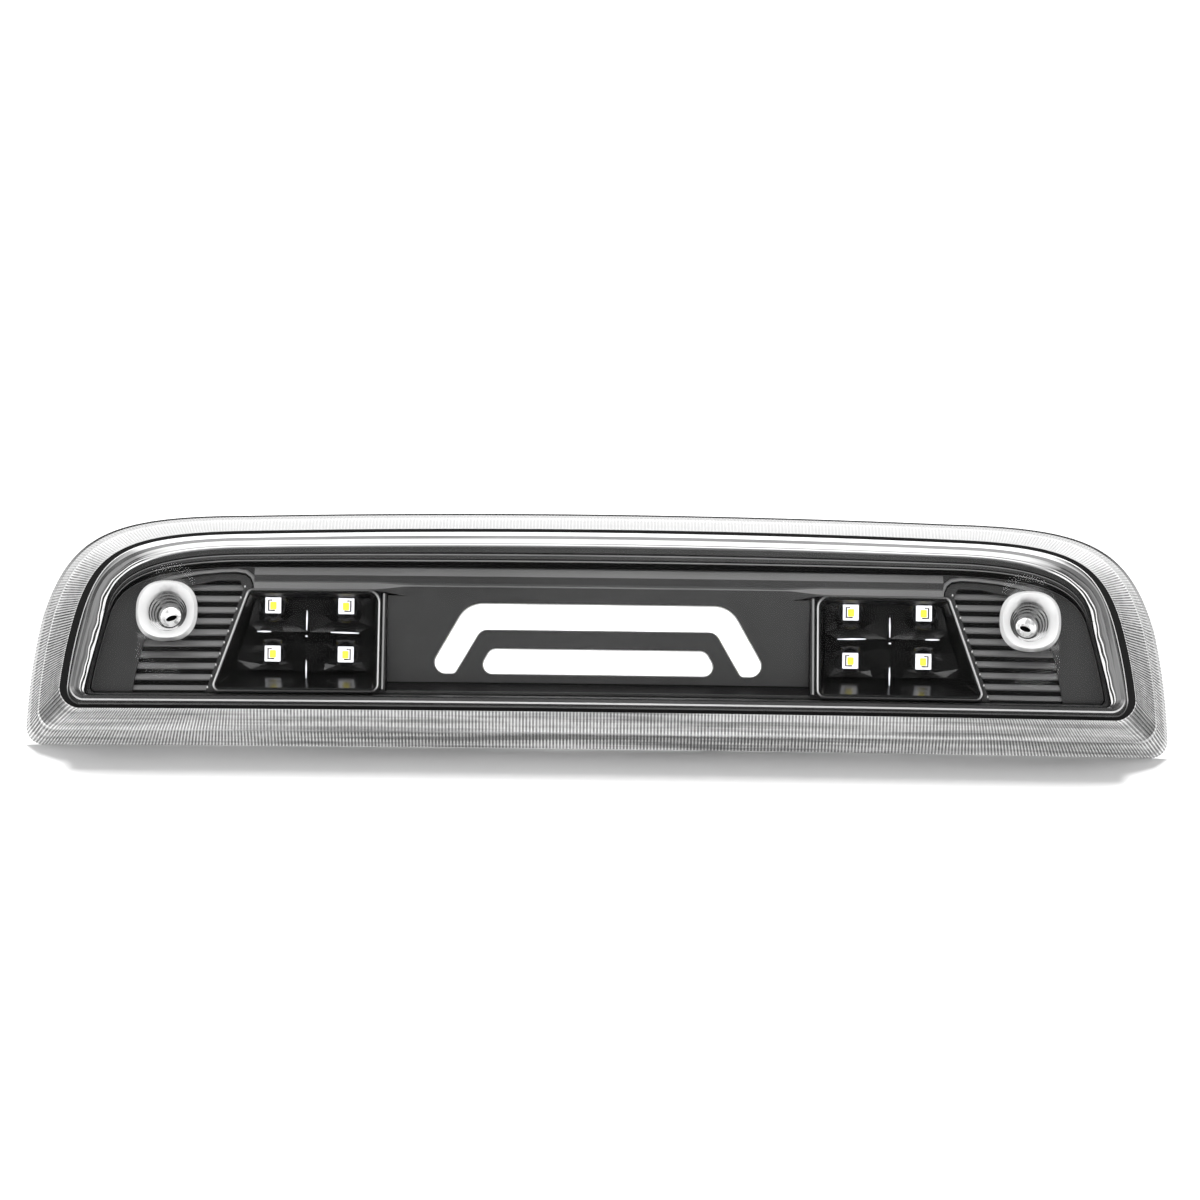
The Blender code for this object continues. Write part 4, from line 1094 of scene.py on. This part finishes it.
def facet_cell(bm, side, corners, inner_sides, middle):
    """One cell of the reflector: flat seat for the source and two rings of flat facets."""
    turns = [2 * math.pi * k / FACETS for k in range(FACETS)]
    seat, bowl, rim, foot = [], [], [], []
    for angle in turns:
        x, z = np.add(middle, (3.7 * math.sin(angle), 3.7 * math.cos(angle)))
        seat.append((x, base_depth(z) + 0.3, z))
        turned_on = angle + math.pi / FACETS
        far, crossed = reach_to(corners, middle, turned_on)
        x, z = np.add(middle, np.subtract(far, middle) * 0.45
                      + 1.6 * np.array([math.sin(turned_on), math.cos(turned_on)]))
        lift = 2.1 if crossed in inner_sides else 1.2
        bowl.append((x, base_depth(z) - lift, z))
        far, crossed = reach_to(corners, middle, angle)
        deep = CREST_DEPTH if crossed in inner_sides else base_depth(far[1]) - 2.6
        rim.append((far[0], deep, far[1]))
        foot.append((far[0], base_depth(far[1]) + 0.75, far[1]))
    seat, bowl, rim, foot = rows_of(bm, [[(side * x, y, z) for x, y, z in ring]
                                         for ring in (seat, bowl, rim, foot)])
    for k in range(FACETS):
        after = (k + 1) % FACETS
        for facet in ((seat[k], seat[after], bowl[k]), (seat[after], bowl[after], bowl[k]),
                      (bowl[k], rim[after], rim[k]), (bowl[k], bowl[after], rim[after])):
            bm.faces.new(facet)
    skin(bm, [rim, foot])
    bm.faces.new(seat)
    bm.faces.new(foot)


def build_reflector(side, label):
    """Glossy pocket with four faceted cells and crests between them that carry a painted highlight."""
    opening = pocket_outline(-0.15)
    base = rounded([(75.5, 7.0, 2.0), (113.6, 7.0, 1.5), (121.0, -17.5, 1.5), (75.5, -17.5, 2.0)], 8)
    rings = [[(x, base_depth(z) + 0.9, z) for x, z in inset(base, -1.2)],
             [(x, OPENING_DEPTH + 1.5 + bow(x), z) for x, z in opening],
             [(x, OPENING_DEPTH + 0.2 + bow(x), z) for x, z in opening],
             [(x, OPENING_DEPTH + 0.3 + bow(x), z) for x, z in inset(opening, 0.5)],
             [(x, base_depth(z) + 0.4, z) for x, z in base]]
    bm = loft([[(side * x, y, z) for x, y, z in ring] for ring in rings])
    # painted shade: the top of the pocket's walls is black
    for face in bm.faces:
        face.material_index = 1 if face.calc_center_median().z > 6.0 else 0
    top, foot, inner, outer = 7.1, -17.6, 75.4, 113.6
    slant = outer + (top - CREST_Z) * 0.3037
    cross = (CREST_X, CREST_Z)
    upper_z, lower_z = (POCKET_Z + sign * CARGO_LED_Z * math.cos(POCKET_TILT) for sign in (1, -1))
    left_x, right_x = POCKET_X - CARGO_LED_X, POCKET_X + CARGO_LED_X
    cells = (([(inner, top), (CREST_X, top), cross, (inner, CREST_Z)], (1, 2), (left_x, upper_z)),
             ([(CREST_X, top), (outer, top), (slant, CREST_Z), cross], (2, 3), (right_x, upper_z)),
             ([(inner, CREST_Z), cross, (CREST_X, foot), (inner, foot)], (0, 1), (left_x, lower_z)),
             ([cross, (slant, CREST_Z), (121.1, foot), (CREST_X, foot)], (0, 3), (right_x, lower_z)))
    for corners, inner_sides, middle in cells:
        facet_cell(bm, side, corners, inner_sides, middle)
    node = f"reflector_{label}"
    show(node + "_facets", bm, [gloss, black], node, sharp=0)
    level = CREST_DEPTH - 0.2
    lines = [[(CREST_X, CREST_DEPTH - 0.15, z) for z in (1.8, -1.0, -4.8)],
             [(CREST_X, base_depth(z) - 4.9, z) for z in (-14.3, -17.5, -20.6)],
             [(x, level, CREST_Z - 0.02 * (89.0 - x)) for x in (79.6, 84.3, 89.0)],
             [(x, level, CREST_Z) for x in (108.8, 111.0, 113.4)],
             [(x, level, -6.8) for x in (96.6, 97.0, 97.4)]]
    for number, line in enumerate(lines, 1):
        bead = sweep([(side * x, y, z) for x, y, z in line], 0.3, taper=0.5)
        show(f"{node}_crest_{number}", bead, [crest], node)


def plate_ring(x, z, width, height, y, corner):
    """Rounded rectangle at one depth, as points in space."""
    w, h = width / 2, height / 2
    flat = rounded([(x - w, z + h, corner), (x + w, z + h, corner), (x + w, z - h, corner),
                    (x - w, z - h, corner)], 4)
    return upright(flat, y)


def build_led(side, name, x, z):
    """White package with a shallow cup, a yellow phosphor square and a dark lead frame."""
    away = side if x > 0 else -side
    x = side * x
    body = loft([plate_ring(x, z, size, size, y, corner) for size, y, corner in (
        (5.3, 0.9, 0.3), (5.3, -0.25, 0.3), (5.1, -0.4, 0.3), (3.9, -0.4, 0.5), (3.6, -0.15, 0.4))])
    chip = loft([plate_ring(x - 0.1 * away, z - 0.1, width, height, y, 0.35) for width, height, y in (
        (2.1, 2.5, -0.1), (2.1, 2.5, -0.34), (1.8, 2.2, -0.46), (0.9, 1.1, -0.5))])
    leads = sweep([(x + away * across, -0.42, z + along) for across, along in (
        (0.3, 1.7), (1.5, 1.7), (1.5, -1.7), (-0.6, -1.7))], 0.24, sides=6)
    # the package and phosphor finishes carry a painted glow
    for bm, finish, part in ((body, led_white, "package"), (chip, led_yellow, "phosphor"),
                             (leads, led_dark, "leads")):
        lean(bm, (side * POCKET_X, POCKET_DEPTH, POCKET_Z), POCKET_TILT)
        show(f"{name}_{part}", bm, [finish], name, sharp=30)


for side, label in ((-1, "left"), (1, "right")):
    build_reflector(side, label)
    places = [(x, z) for z in (CARGO_LED_Z, -CARGO_LED_Z) for x in (-CARGO_LED_X, CARGO_LED_X)]
    for number, (x, z) in enumerate(places, 1):
        build_led(side, f"cargo_led_{label}_{number}", x * side, z)


# ------------------------------------------------------------------ housing, seals and harness
FLOOR_FRONT, FLOOR_BACK = -4.0, -1.5
FLANGE_FRONT, FLANGE_BACK = -10.4, -8.4
GASKET = dict(SEAL, side=((176.0, -5.0), (177.6, -13.0), (178.3, -19.4)), radius=12.0)
GAP = 0.3                          # between the housing's back and what is fixed to it
VENT, VENT_RADIUS = (-44.0, -12.0), 6.0
GROMMET, GROMMET_RADIUS = (38.0, -10.0), 7.4
POSTS = [(side * x, z) for side in (-1, 1) for x, z in ((100.0, 15.2), (147.0, -18.0))]
SCREW_HEAD = 2.6
HARNESS_Y, HARNESS_BEND = 14.0, 9.0
PLUG_X = 88.0
WIRE, WIRE_OFFSET = 0.8, 1.25
STRANDS = 9                        # strands of the woven sleeve, each way round


def metal(name, tint, rough):
    """Plated metal with faint streaks and a patchy sheen."""
    n = Nodes(name)
    fine = n.noise(1200.0, 3.0, (1.0, 6.0, 1.0))
    broad = n.noise(60.0, 3.0)
    low = tuple(0.8 * part for part in tint)
    colour = n.ramp(broad, (0.3, low), (0.7, tint))
    return n.solid(Base_Color=colour, Metallic=1.0,
                   Roughness=n.value("MULTIPLY_ADD", fine, 0.15, rough),
                   Normal=n.bump(fine, 0.3, 0.00001))


def foam_finish():
    """Open grey foam full of small cells."""
    n = Nodes("gasket_grey_foam")
    cells = n.add("TexVoronoi", Vector=n.place(), Scale=1400.0).outputs["Distance"]
    colour = n.ramp(cells, (0.1, 0.02), (0.6, 0.07))
    return n.solid(Base_Color=colour, Roughness=0.95,
                   Normal=n.bump(cells, 0.8, 0.0003))


def board_finish():
    """White circuit board: solder mask with faint copper tracks under it."""
    n = Nodes("board_white_mask")
    tracks = n.add("TexBrick", Vector=n.place(), Scale=130.0, Color1=grey(0.76),
                   Color2=grey(0.70), Mortar=(0.60, 0.62, 0.55, 1.0), Mortar_Size=0.03)
    fine = n.noise(2200.0, 2.0)
    return n.solid(Base_Color=tracks.outputs["Color"], Roughness=0.45,
                   Normal=n.bump(fine, 0.2, 0.00001))


def softened(path):
    """Path with its corners cut away twice, so that it bends smoothly."""
    points = [Vector(point) for point in path]
    for _ in range(2):
        softer = [points[0]]
        for here, after in zip(points, points[1:]):
            softer += [here.lerp(after, 0.25), here.lerp(after, 0.75)]
        points = softer + [points[-1]]
    return points


def ahead_at(path, index):
    """Direction of a path at one of its points."""
    return path[min(index + 1, len(path) - 1)] - path[max(index - 1, 0)]


def cable(path, radius, sides, bore=0.0, weave=0.0):
    """Round cable along a path; with a bore a hose, with a weave a braid of crossing strands."""
    outside, inside = [], []
    travelled = 0.0
    for index, point in enumerate(path):
        ahead = ahead_at(path, index)
        across = ahead.cross(Vector((0.3, 0.1, 1.0))).normalized()
        over = across.cross(ahead).normalized()
        if index:
            travelled += (point - path[index - 1]).length
        outside.append([])
        inside.append([])
        for step in range(sides):
            angle = 2 * math.pi * step / sides
            strand = (math.cos(STRANDS * angle + travelled * 2.2)
                      * math.cos(STRANDS * angle - travelled * 2.2))
            spoke = across * math.cos(angle) + over * math.sin(angle)
            outside[-1].append(point + spoke * (radius - weave * (0.5 - 0.5 * strand)))
            inside[-1].append(point + spoke * bore)
    return loft(outside + inside[::-1], closed=True) if bore else loft(outside)


def evenly(path, pitch):
    """The same path with a point every pitch."""
    points = np.array([tuple(point) for point in path])
    lengths = np.concatenate([[0.0], np.cumsum(np.linalg.norm(np.diff(points, axis=0), axis=1))])
    wanted = np.linspace(0.0, lengths[-1], int(lengths[-1] / pitch) + 1)
    return [Vector([np.interp(place, lengths, points[:, axis]) for axis in range(3)])
            for place in wanted]


def harness_path(start, stop):
    """Middle line of the pigtail: out through the grommet, round a bend, then along +X."""
    x, z = GROMMET
    turns = [math.pi / 2 * step / 12 for step in range(13)]
    curve = [(x + HARNESS_BEND * (1 - math.cos(turn)),
              HARNESS_Y - HARNESS_BEND * (1 - math.sin(turn)), z) for turn in turns]
    return [Vector(point) for point in [(x, start, z)] + curve + [(stop, HARNESS_Y, z)]]


def build_housing(finish):
    """Rear tray of the lamp with its flange, screw bosses, stop pad and holes."""
    seal = outline(SEAL)
    section = ((3.5, FLOOR_BACK), (3.15, FLOOR_BACK - 0.15), (3.0, FLOOR_BACK - 0.5),
               (1.6, FLANGE_BACK), (0.5, FLANGE_BACK), (0.2, FLANGE_BACK - 0.3),
               (0.2, FLANGE_FRONT + 0.3), (0.5, FLANGE_FRONT), (3.8, FLANGE_FRONT),
               (5.4, FLOOR_FRONT))
    bm = capped([at_depth(inset(seal, reach), depth) for reach, depth in section])
    housing = piece("housing_shell", bm, [finish])
    face = bow(WELL_X)
    for side in (-1, 1):
        boss = turned(side * WELL_X, 0, [(9.5, face - 2.6), (9.5, face - 0.4), (9.1, face)], 64)
        cut(housing, boss, "UNION", CRISP)
    pad = rounded([(-12, 8, 1.5), (12, 8, 1.5), (12, -8, 1.5), (-12, -8, 1.5)], 6)
    cut(housing, prism(pad, FLOOR_BACK - 0.8, 0.0), "UNION", CRISP)
    holes = [(side * WELL_X, 0.0, 2.8, 32) for side in (-1, 1)]
    holes += [(x, z, 1.6, 24) for x, z in POSTS]
    holes += [(*GROMMET, 5.2, 48), (*VENT, 1.5, 24)]
    for x, z, radius, count in holes:
        cut(housing, turned(x, z, [(radius, -9.0), (radius, 8.0)], count), sharp=CRISP)
    settled(housing, "rear_housing")


def build_gasket(finish):
    """Foam ring behind the housing with soft edges."""
    edge = outline(GASKET)
    section = ((4.0, -1.2), (3.6, -0.8), (3.6, 1.1), (4.0, 1.5), (8.6, 1.5), (9.0, 1.1),
               (9.0, -0.8), (8.6, -1.2))
    bm = loft([at_depth(inset(edge, reach), depth) for reach, depth in section], closed=True)
    show("gasket_ring", bm, [finish], "foam_gasket", sharp=60)


def seat_behind(x, radius):
    """Depth at which a round piece stands just clear of the housing's bowed back."""
    return FLOOR_BACK + bow(abs(x) + radius) + GAP


def build_small_turned(membrane, grommet_rubber, steel):
    """Breather patch, cable grommet and the four bezel screws."""
    start = seat_behind(VENT[0], VENT_RADIUS)
    rim = VENT_RADIUS - 0.2
    bm = turned(*VENT, [(rim, start), (VENT_RADIUS, start + 0.15), (VENT_RADIUS, start + 0.45),
                        (rim, start + 0.6)], 64)
    show("vent_membrane", bm, [membrane], "vent_patch")
    near = seat_behind(GROMMET[0], GROMMET_RADIUS + 0.1)
    bm = turned(*GROMMET, [(4.8, FLOOR_FRONT + 0.4), (4.8, near), (7.2, near),
                           (GROMMET_RADIUS, near + 0.3), (7.2, near + 1.5), (6.7, near + 1.9),
                           (5.3, near + 3.0), (4.6, near + 3.7), (4.2, near + 4.0),
                           (3.3, near + 4.0), (3.3, FLOOR_FRONT + 0.4)], 64, closed=True)
    show("grommet_body", bm, [grommet_rubber], "cable_grommet")
    for number, (x, z) in enumerate(POSTS, 1):
        seat = seat_behind(x, SCREW_HEAD)
        bm = turned(x, z, [(1.1, seat - 9.0), (1.3, seat - 8.2), (1.3, seat), (2.5, seat),
                           (SCREW_HEAD, seat + 0.15), (2.55, seat + 0.55), (2.3, seat + 0.85),
                           (1.8, seat + 1.05), (1.2, seat + 1.1)], 32)
        screw = piece(f"screw_{number}", bm, [steel])
        for wide, high in ((1.5, 0.25), (0.25, 1.5)):
            slit = oblong(x - wide, x + wide, z + high, z - high)
            cut(screw, prism(slit, seat + 0.4, seat + 3.0))
        settled(screw, f"bezel_screw_{number}")


def show_wire(node, path, finish, slot):
    """Insulated wire along a path that is drawn with corners."""
    show(node + "_insulated", cable(softened(path), WIRE, 20), [finish], node, sharp=60)


def build_wires(braid, insulation):
    """Woven sleeve with three wires in it, and the two leads inside the lamp."""
    bm = cable(evenly(harness_path(-3.4, PLUG_X - 14.0), 0.3), 3.0, 72, 2.45, 0.3)
    show("sleeve_braid", bm, [braid], "harness_sleeve", sharp=70)
    inside = harness_path(-4.9, PLUG_X + 2.5)
    for name, turn, socket in (("brake_feed_wire", 90, 0.0), ("cargo_feed_wire", 210, -7.0),
                               ("ground_wire", 330, 7.0)):
        aside = WIRE_OFFSET * math.cos(math.radians(turn))
        upward = WIRE_OFFSET * math.sin(math.radians(turn))
        x = GROMMET[0] + socket
        path = [(x, -6.3, 3.6), (x, -5.0, 2.4), (x, -4.9, -7.0)]
        for index, point in enumerate(inside):
            across = ahead_at(inside, index).cross(Vector((0, 0, 1))).normalized()
            path.append(point + across * aside + Vector((0, 0, upward)))
        show_wire(name, path, *insulation[name])
    for side, label in ((-1, "left"), (1, "right")):
        path = [(side * x, y, z) for x, y, z in ((28.0, -9.2, 11.5), (50.0, -8.6, 13.0),
                                                 (66.0, -8.0, 13.2), (80.0, -6.4, 12.0),
                                                 (90.0, -4.6, 9.5))]
        show_wire(f"cargo_lead_{label}", path, *insulation["cargo_feed_wire"])


def dress(finish, *names):
    """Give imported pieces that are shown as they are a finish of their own."""
    for name in names:
        mesh = frame["nodes"][name].data
        mesh.materials.clear()
        mesh.materials.append(finish)


build_housing(moulded("housing_textured_black", 0.02, 0.5, grain=900.0, depth=0.00004, strength=0.6))
build_gasket(foam_finish())
build_small_turned(moulded("vent_white_membrane", 0.72, 0.8, grain=2500.0, strength=0.5),
                   rubber, metal("screw_zinc", (0.62, 0.62, 0.60), 0.28))
red_wire = moulded("wire_red", 0.42, 0.42, tint=(1.0, 0.05, 0.05))
white_wire = moulded("wire_white", 0.70, 0.42)
black_wire = moulded("wire_black", 0.02, 0.42)
build_wires(moulded("sleeve_woven_black", 0.03, 0.8, grain=3000.0, depth=0.00003, strength=0.8),
            {"brake_feed_wire": (red_wire, "red_wire"), "cargo_feed_wire": (white_wire, "white_wire"),
             "ground_wire": (black_wire, "black_wire")})
dress(board_finish(), "brake_board", "cargo_board_left", "cargo_board_right")
dress(moulded("chip_matt_black", 0.015, 0.5), "voltage_regulator", "polarity_diode")
dress(moulded("chip_grey_ceramic", 0.08, 0.5), "dropping_resistor", "cargo_resistor_left",
      "cargo_resistor_right")
dress(moulded("socket_white_plastic", 0.75, 0.4), "board_connector")
# the brake LEDs take the white package finish with its painted glow
dress(led_white, *(f"brake_led_{number}" for number in range(1, 11)))
dress(moulded("plug_moulded_black", 0.022, 0.45, grain=1100.0, strength=0.5), "connector_housing")
dress(moulded("lock_red_plastic", 0.5, 0.4, tint=(1.0, 0.09, 0.07)), "connector_lock")
dress(metal("pin_tinned_brass", (0.75, 0.70, 0.60), 0.22),
      *(f"connector_pin_{number}" for number in range(1, 4)))


# ------------------------------------------------------------------ studio
VIEW_DROP = math.radians(15.8)
ROLL = math.radians(0.72)
DISTANCE = 1.350                   # from the camera to the lamp's face, in metres
FLOOR_HALF = 8.0
FLOOR_RISE = 0.0024                # the paper floor swells to meet the bowed lower rim
FLOOR_RISE_HALF = 0.190


def world_point(x, y, z):
    """A point of the lamp's own frame, in mm, in the shared frame, in metres."""
    return Matrix.Rotation(-RAKE, 3, "X") @ Vector((x, y, z)) * MM


def build_floor():
    """Wide pale floor under the lamp's lowest point, with a faint cloudiness."""
    n = Nodes("studio_floor_pale")
    cloud = n.noise(2.0, 3.0)
    shade = n.ramp(cloud, (0.3, 0.86), (0.7, 0.88))
    finish = n.end(n.add("BsdfDiffuse", Color=shade))
    lowest = cad_box[0][2] - 0.0001
    bm = bmesh.new()
    rows = []
    for x in [-FLOOR_HALF] + [0.005 * step for step in range(-40, 41)] + [FLOOR_HALF]:
        rise = FLOOR_RISE * max(0.0, 1 - (x / FLOOR_RISE_HALF) ** 2)
        rows.append([bm.verts.new((x, y, lowest + rise)) for y in (-FLOOR_HALF, FLOOR_HALF)])
    for low, high in zip(rows, rows[1:]):
        bm.faces.new((low[0], high[0], high[1], low[1]))
    mesh = bpy.data.meshes.new("studio_floor")
    bm.to_mesh(mesh)
    bm.free()
    mesh.shade_smooth()
    mesh.materials.append(finish)
    floor = bpy.data.objects.new("studio_floor", mesh)
    bpy.context.scene.collection.objects.link(floor)


def build_world():
    """White behind the floor; the light comes from above and below and is dim at eye level."""
    world = bpy.data.worlds.new("studio")
    bpy.context.scene.world = world
    n = Nodes("studio", world)
    z = n.add("SeparateXYZ", Vector=n.add("TexCoord").outputs["Generated"]).outputs[2]
    height = n.add("MapRange", Value=z, From_Min=-1.0).outputs[0]
    shade = n.ramp(height, (0.0, 0.8), (0.35, 0.5), (0.47, 0.14), (0.56, 0.2), (0.75, 0.4),
                   (1.0, 1.2))
    seen = n.add("LightPath").outputs["Is Camera Ray"]
    n.end(n.mix(seen, n.add("Background", Color=shade), n.add("Background", Color=grey(1.0))))


lamp_only = bpy.data.collections.new("lit_by_soft_boxes")
for made in bpy.context.scene.objects:
    if made.type == "MESH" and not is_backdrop(made):
        lamp_only.objects.link(made)


def soft_light(name, place, size, power, mirrored_in=True):
    """Rectangular light aimed at the lamp that leaves the floor alone."""
    light = bpy.data.lights.new(name, "AREA")
    light.shape = "RECTANGLE"
    light.size, light.size_y = size
    light.energy = power
    made = bpy.data.objects.new(name, light)
    made.location = place
    made.rotation_euler = (-Vector(place)).to_track_quat("-Z", "Y").to_euler()
    bpy.context.scene.collection.objects.link(made)
    made.visible_glossy = mirrored_in
    made.light_linking.receiver_collection = lamp_only


def build_lights():
    """Soft sun from above and behind; long boxes overhead and in front that light the lamp only."""
    sun = bpy.data.lights.new("key_sun", "SUN")
    sun.energy = 4.2
    sun.angle = math.radians(14)
    made = bpy.data.objects.new("key_sun", sun)
    made.rotation_euler = (math.radians(-31), 0, 0)
    made.visible_glossy = False
    bpy.context.scene.collection.objects.link(made)
    soft_light("overhead_box", (0, -0.35, 1.1), (1.6, 0.5), 16.0)
    soft_light("front_box", (0, -1.6, 0.08), (1.2, 0.2), 24.0, False)


def build_camera():
    """Long lens in front of the lamp, a little above it and rolled very slightly."""
    target = world_point(0, -21.0, 0)
    ahead = Vector((0, math.cos(VIEW_DROP), -math.sin(VIEW_DROP)))
    data = bpy.data.cameras.new("camera")
    data.lens = 122.46
    data.sensor_width = 36.0
    data.shift_x = 0.00125
    data.shift_y = 0.01283
    data.clip_end = 50.0
    camera = bpy.data.objects.new("camera", data)
    camera.location = target - ahead * DISTANCE
    camera.rotation_euler = (ahead.to_track_quat("-Z", "Y")
                             @ Matrix.Rotation(ROLL, 3, "Z").to_quaternion()).to_euler()
    bpy.context.scene.collection.objects.link(camera)
    bpy.context.scene.camera = camera


build_floor()
build_world()
build_lights()
build_camera()
scene = bpy.context.scene
scene.view_settings.view_transform = "Standard"
scene.cycles.max_bounces = 12
scene.cycles.transparent_max_bounces = 32
scene.cycles.use_denoising = True
